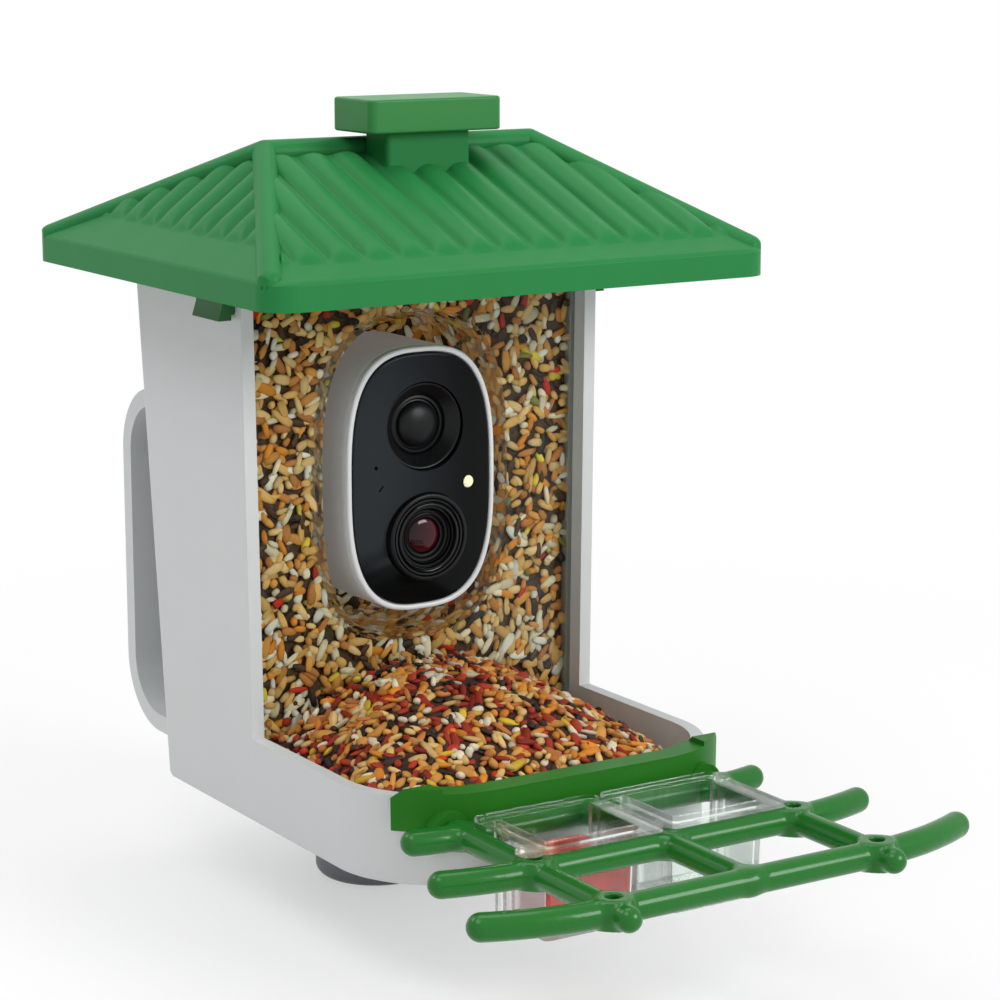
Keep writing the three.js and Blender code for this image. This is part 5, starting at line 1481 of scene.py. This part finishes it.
def scatter_tree():
    """Grains of mixed kinds spread over a skin, each turned, leant and lifted by its own chance."""
    sizes = [(name, "Float") for name in ("Spacing", "Density", "Lift", "Lean")]
    graph, given = geometry_tree("scattered grains", [*sizes, ("Seed", "Int"), ("Finish", "Material")])
    core, spacing, density, lift, lean, seed, finish = given

    # Where a random value of each kind takes its lower and upper limit, and where it comes out
    sockets = {"FLOAT": (2, 3, 1), "INT": (4, 5, 2), "FLOAT_VECTOR": (0, 1, 0)}

    def chance(kind, low, high, offset):
        low_socket, high_socket, output = sockets[kind]
        inputs = {low_socket: low, high_socket: high, "Seed": seed + offset}
        return graph.node("FunctionNodeRandomValue", {"data_type": kind}, inputs, output)

    spread = graph.tree.nodes.new("GeometryNodeDistributePointsOnFaces")
    spread.distribute_method = "POISSON"
    for name, wire in (("Mesh", core), ("Distance Min", spacing), ("Density Max", density), ("Seed", seed)):
        graph.tree.links.new(wire.socket, spread.inputs[name])
    points, normal, turn = (Wire(graph, spread.outputs[name]) for name in ("Points", "Normal", "Rotation"))
    distance = chance("FLOAT", 0.0, 1.0, 1) * lift
    apart = graph.node("ShaderNodeVectorMath", {"operation": "SCALE"}, {0: normal, "Scale": distance})
    moved = graph.node("GeometryNodeSetPosition", None, {"Geometry": points, "Offset": apart})
    spin = graph.node("ShaderNodeCombineXYZ", None, {
        0: chance("FLOAT", -1.0, 1.0, 2) * lean,
        1: chance("FLOAT", -1.0, 1.0, 3) * lean,
        2: chance("FLOAT", 0.0, 2 * math.pi, 4),
    })
    rotation = graph.node(
        "FunctionNodeRotateRotation", {"rotation_space": "LOCAL"}, {"Rotation": turn, "Rotate By": spin})
    kinds = graph.node("GeometryNodeCollectionInfo", None, {
        "Collection": grains, "Separate Children": True, "Reset Children": True})
    placed = graph.node("GeometryNodeInstanceOnPoints", None, {
        "Points": moved,
        "Instance": kinds,
        "Pick Instance": True,
        "Instance Index": chance("INT", 0, 5, 5),
        "Rotation": rotation,
        "Scale": chance("FLOAT_VECTOR", (0.75, 0.8, 0.85), (1.1, 1.15, 1.1), 6),
    })
    for offset, name in enumerate(("kind", "shade")):
        inputs = {"Geometry": placed, "Name": name, "Value": chance("FLOAT", 0.0, 1.0, 7 + offset)}
        settings = {"data_type": "FLOAT", "domain": "INSTANCE"}
        placed = graph.node("GeometryNodeStoreNamedAttribute", settings, inputs)
    return ended(graph, graph.node("GeometryNodeRealizeInstances", None, {0: placed}), finish)


scatter = scatter_tree()


def seed_core(inset):
    """The seed in the hopper, drawn in by inset from the window, the pocket and the top."""
    front = WINDOW_SETBACK + WINDOW_THICKNESS + FIT + inset
    side = BODY_WALL + FIT + 0.4
    bulk = loft([house_plan(FLOOR + FIT, side, front), house_plan(SEED_TOP - inset, side, front)])
    bed = [(RAMP_FRONT - FIT, -1), (100, -1), (100, 75), (RAMP_FRONT - FIT, 6.6)]
    hollow = prism("y", pocket(POCKET_WALL + 2 * FIT), 0, POCKET_BACK + FIT + inset)
    bosses = prism("y", rectangle(-6, 6, CAMERA_HEIGHT - 21, CAMERA_HEIGHT + 21, 5), 0, POCKET_BACK + 9)
    return cut(bulk, prism("x", bed, -80, 80), hollow, bosses)


def faces_of(source, keep):
    """A new object of the faces of source for which keep(centre in millimetres, normal) holds."""
    mesh = source.data.copy()
    with editing(mesh) as work:
        bmesh.ops.triangulate(work, faces=work.faces)
        drop = []
        for face in work.faces:
            centre = face.calc_center_median() / MM + Vector((0, POLE_BACK, 0))
            if not keep(centre, face.normal):
                drop.append(face)
        bmesh.ops.delete(work, geom=drop, context="FACES")
    return linked("faces", mesh)


def outside_of(distance):
    """Distances bent so that all are positive: far ones stay as they are, near ones are squeezed together."""
    return np.logaddexp(0, distance / SEED_SOFTNESS) * SEED_SOFTNESS


def press_on_window(points):
    points[:, 1] = WINDOW_BACK + outside_of(points[:, 1] - WINDOW_BACK)


def press_on_pocket(points):
    x = points[:, 0]
    z = points[:, 2] - CAMERA_HEIGHT
    across = np.abs(x) / (POCKET_HALF_WIDTH + POCKET_EDGE)
    up = np.abs(z) / (POCKET_HALF_HEIGHT + POCKET_EDGE)
    share = (across**OVAL_POWER + up**OVAL_POWER) ** (1 / OVAL_POWER)
    reach = np.hypot(x, z)
    edge = reach / share
    scale = np.where(points[:, 1] < POCKET_BACK, (edge + outside_of(reach - edge)) / reach, 1)
    points[:, 0] = x * scale
    points[:, 2] = CAMERA_HEIGHT + z * scale


DENSITY = 200000.0  # grains for each square metre, before those too near another are left out


def scattered(source, keep, name, finish, seed, spacing, lift, lean=0.25, presses=()):
    """Grains on the faces of source that keep picks. Each of presses moves their points off a clear wall."""
    made = use_tree(faces_of(source, keep), scatter, {
        "Spacing": spacing * MM,
        "Density": DENSITY,
        "Lift": lift * MM,
        "Lean": lean,
        "Seed": seed,
        "Finish": finish.material,
    })
    points = np.empty(len(made.data.vertices) * 3)
    made.data.vertices.foreach_get("co", points)
    points = points.reshape(-1, 3) / MM + (0, POLE_BACK, 0)
    for press in presses:
        press(points)
    made.data.vertices.foreach_set("co", ((points - (0, POLE_BACK, 0)) * MM).ravel())
    made.data.materials.clear()
    return dress(made, name, finish, body="house", slot="seed_mix")


FRONT_LAYER_END = WINDOW_SETBACK + WINDOW_THICKNESS + FIT + SEED_LAYER + 1
NEAR_POCKET = (56.25, 82.5)  # half width and half height of the oval round the pocket that gets grains


def behind_window(centre, normal):
    return normal.y < -0.9 and centre.y < FRONT_LAYER_END


def round_pocket(centre, normal):
    wide, high = NEAR_POCKET
    near = math.hypot(centre.x / wide, (centre.z - CAMERA_HEIGHT) / high) < 1
    level = FRONT_LAYER_END < centre.y < POCKET_BACK + 4 and centre.z < SEED_TOP - 2
    return near and level and normal.y < 0.5


def on_top(centre, normal):
    return normal.z > 0.9 and centre.z > SEED_TOP - 8


core = seed_core(SEED_LAYER)
scattered(
    core, behind_window, "seed_behind_window", window_seed, seed=11, spacing=2.05, lift=2.4, lean=0.35,
    presses=[press_on_window, press_on_pocket])
scattered(
    core, round_pocket, "seed_round_pocket", pocket_seed, seed=23, spacing=2.6, lift=0.8,
    presses=[press_on_pocket])
scattered(core, on_top, "seed_top", window_seed, seed=31, spacing=2.8, lift=0.8)


def core_finish(name, light, dark):
    """The shadowed seed behind the outermost grains."""
    finish = Finish(name, {"Roughness": 0.8})
    crumbs = finish.cloud(2.2, 3.0)
    finish.feed({
        "Base Color": finish.blend(crumbs, tone(dark), tone(light)),
        "Normal": finish.relief(crumbs, 1.0),
    })
    return finish


hopper_shadow = core_finish("hopper seed shadow", "5a3a1c", "160d06")
dress(softened(core, 0), "seed_hopper_core", hopper_shadow, "seed_fill")


HEAP_LEVELS = (  # height, half width, reach towards the front, corner radius
    (FLOOR + FIT, 64, 91, 31),
    (13, 64, 91, 31),
    (20, 60, 86, 29),
    (24, 57, 80, 29),
    (30, 50, 65, 27),
    (36, 42, 50, 24),
    (41, 33, 37, 18),
    (45, 24, 24, 12),
    (48, 14, 10, 7),
    (48.5, 8, 4, 3),
)


def heap_core():
    """The seed on the tray: a low heap, and the mouth through which seed comes down."""
    back = WINDOW_SETBACK - FIT

    def ring(z, side, reach, radius):
        corners = [(side, -reach, radius), (side, back, 0), (-side, back, 0), (-side, -reach, radius)]
        return raised(filleted(corners, 20), z)

    mouth = rectangle(-61, 61, 0, WINDOW_SETBACK + WINDOW_THICKNESS)
    mouth = prism("z", mouth, FLOOR + FIT, WINDOW_BOTTOM - 2 * FIT)
    return join(loft([ring(*level) for level in HEAP_LEVELS]), mouth)


def on_heap(centre, normal):
    return normal.z > 0.15 and centre.z > 8


heap = heap_core()
scattered(heap, on_heap, "seed_on_heap", heap_seed, seed=41, spacing=1.95, lift=1.4, lean=0.45)
heap_shadow = core_finish("heap seed shadow", "4a2412", "140a05")
dress(softened(heap, 0), "seed_heap_core", heap_shadow, "seed_heap")
for shape in list(grains.objects):
    bpy.data.objects.remove(shape)


# Floor, backdrop and studio light

def seen(graph):
    """1 for what the camera sees straight, in a mirror or through glass."""
    path = graph.tree.nodes.new("ShaderNodeLightPath")
    straight, mirrored, through = (
        Wire(graph, path.outputs[f"Is {name} Ray"]) for name in ("Camera", "Glossy", "Transmission"))
    return straight.most(mirrored).most(through)


FLOOR_HALF = 9000
FLOOR_LOW = -40.2
FLOOR_LIT = 0.62  # how much of the floor's look is its own glow where FLOOR_NEAR metres from the middle
FLOOR_NEAR = 0.2
FLOOR_FADE = 0.9  # how much more of it is glow for each metre further out
WORLD_LIGHT = 0.34  # the backdrop's strength for rays that the camera doesn't see

floor_plan = rectangle(-FLOOR_HALF, FLOOR_HALF, -FLOOR_HALF, FLOOR_HALF)
floor = solid(raised(floor_plan, FLOOR_LOW), [(0, 1, 2, 3)])
floor.name = "floor"
floor_finish = Finish("pale floor", {"Base Color": tone("f6f6f6"), "Roughness": 0.9})
glow = floor_finish.node("ShaderNodeEmission", None, {"Color": (1, 1, 1, 1), "Strength": 1.0})
length = {"operation": "LENGTH"}
far = floor_finish.node("ShaderNodeVectorMath", length, {0: floor_finish.place()}, "Value")
lit = (FLOOR_LIT + (far - FLOOR_NEAR) * FLOOR_FADE).share()
floor_finish.shown_through(seen(floor_finish) * lit, Wire(floor_finish, floor_finish.shader.outputs[0]), glow)
floor.data.materials.append(floor_finish.material)

world = bpy.data.worlds.new("studio")
bpy.context.scene.world = world
world.use_nodes = True
sky = Graph(world.node_tree)
level = WORLD_LIGHT + seen(sky) * (1 - WORLD_LIGHT)
background = world.node_tree.nodes["Background"]
background.inputs["Color"].default_value = (1, 1, 1, 1)
world.node_tree.links.new(level.socket, background.inputs["Strength"])


LIT_PLACE = Vector((0, -0.03, 0.11))  # what every lamp is turned to


def area_light(name, place, width, power):
    """A lamp of width metres at place, in metres, with its power in watts."""
    lamp = bpy.data.lights.new(name, "AREA")
    lamp.shape = "RECTANGLE"
    lamp.size = width
    lamp.size_y = width * 0.8
    lamp.energy = power
    made = linked(name, lamp)
    made.location = place
    made.rotation_mode = "QUATERNION"
    made.rotation_quaternion = (LIT_PLACE - Vector(place)).to_track_quat("-Z", "Y")


area_light("key", (0.75, -1.5, 0.85), 0.8, 19)
area_light("fill", (-1.0, -0.5, 1.8), 1.1, 13)
area_light("top", (0.1, 0.2, 1.7), 1.0, 7)
area_light("back", (-1.1, 1.2, 1.6), 0.9, 8)

bpy.context.scene.view_settings.view_transform = "Standard"
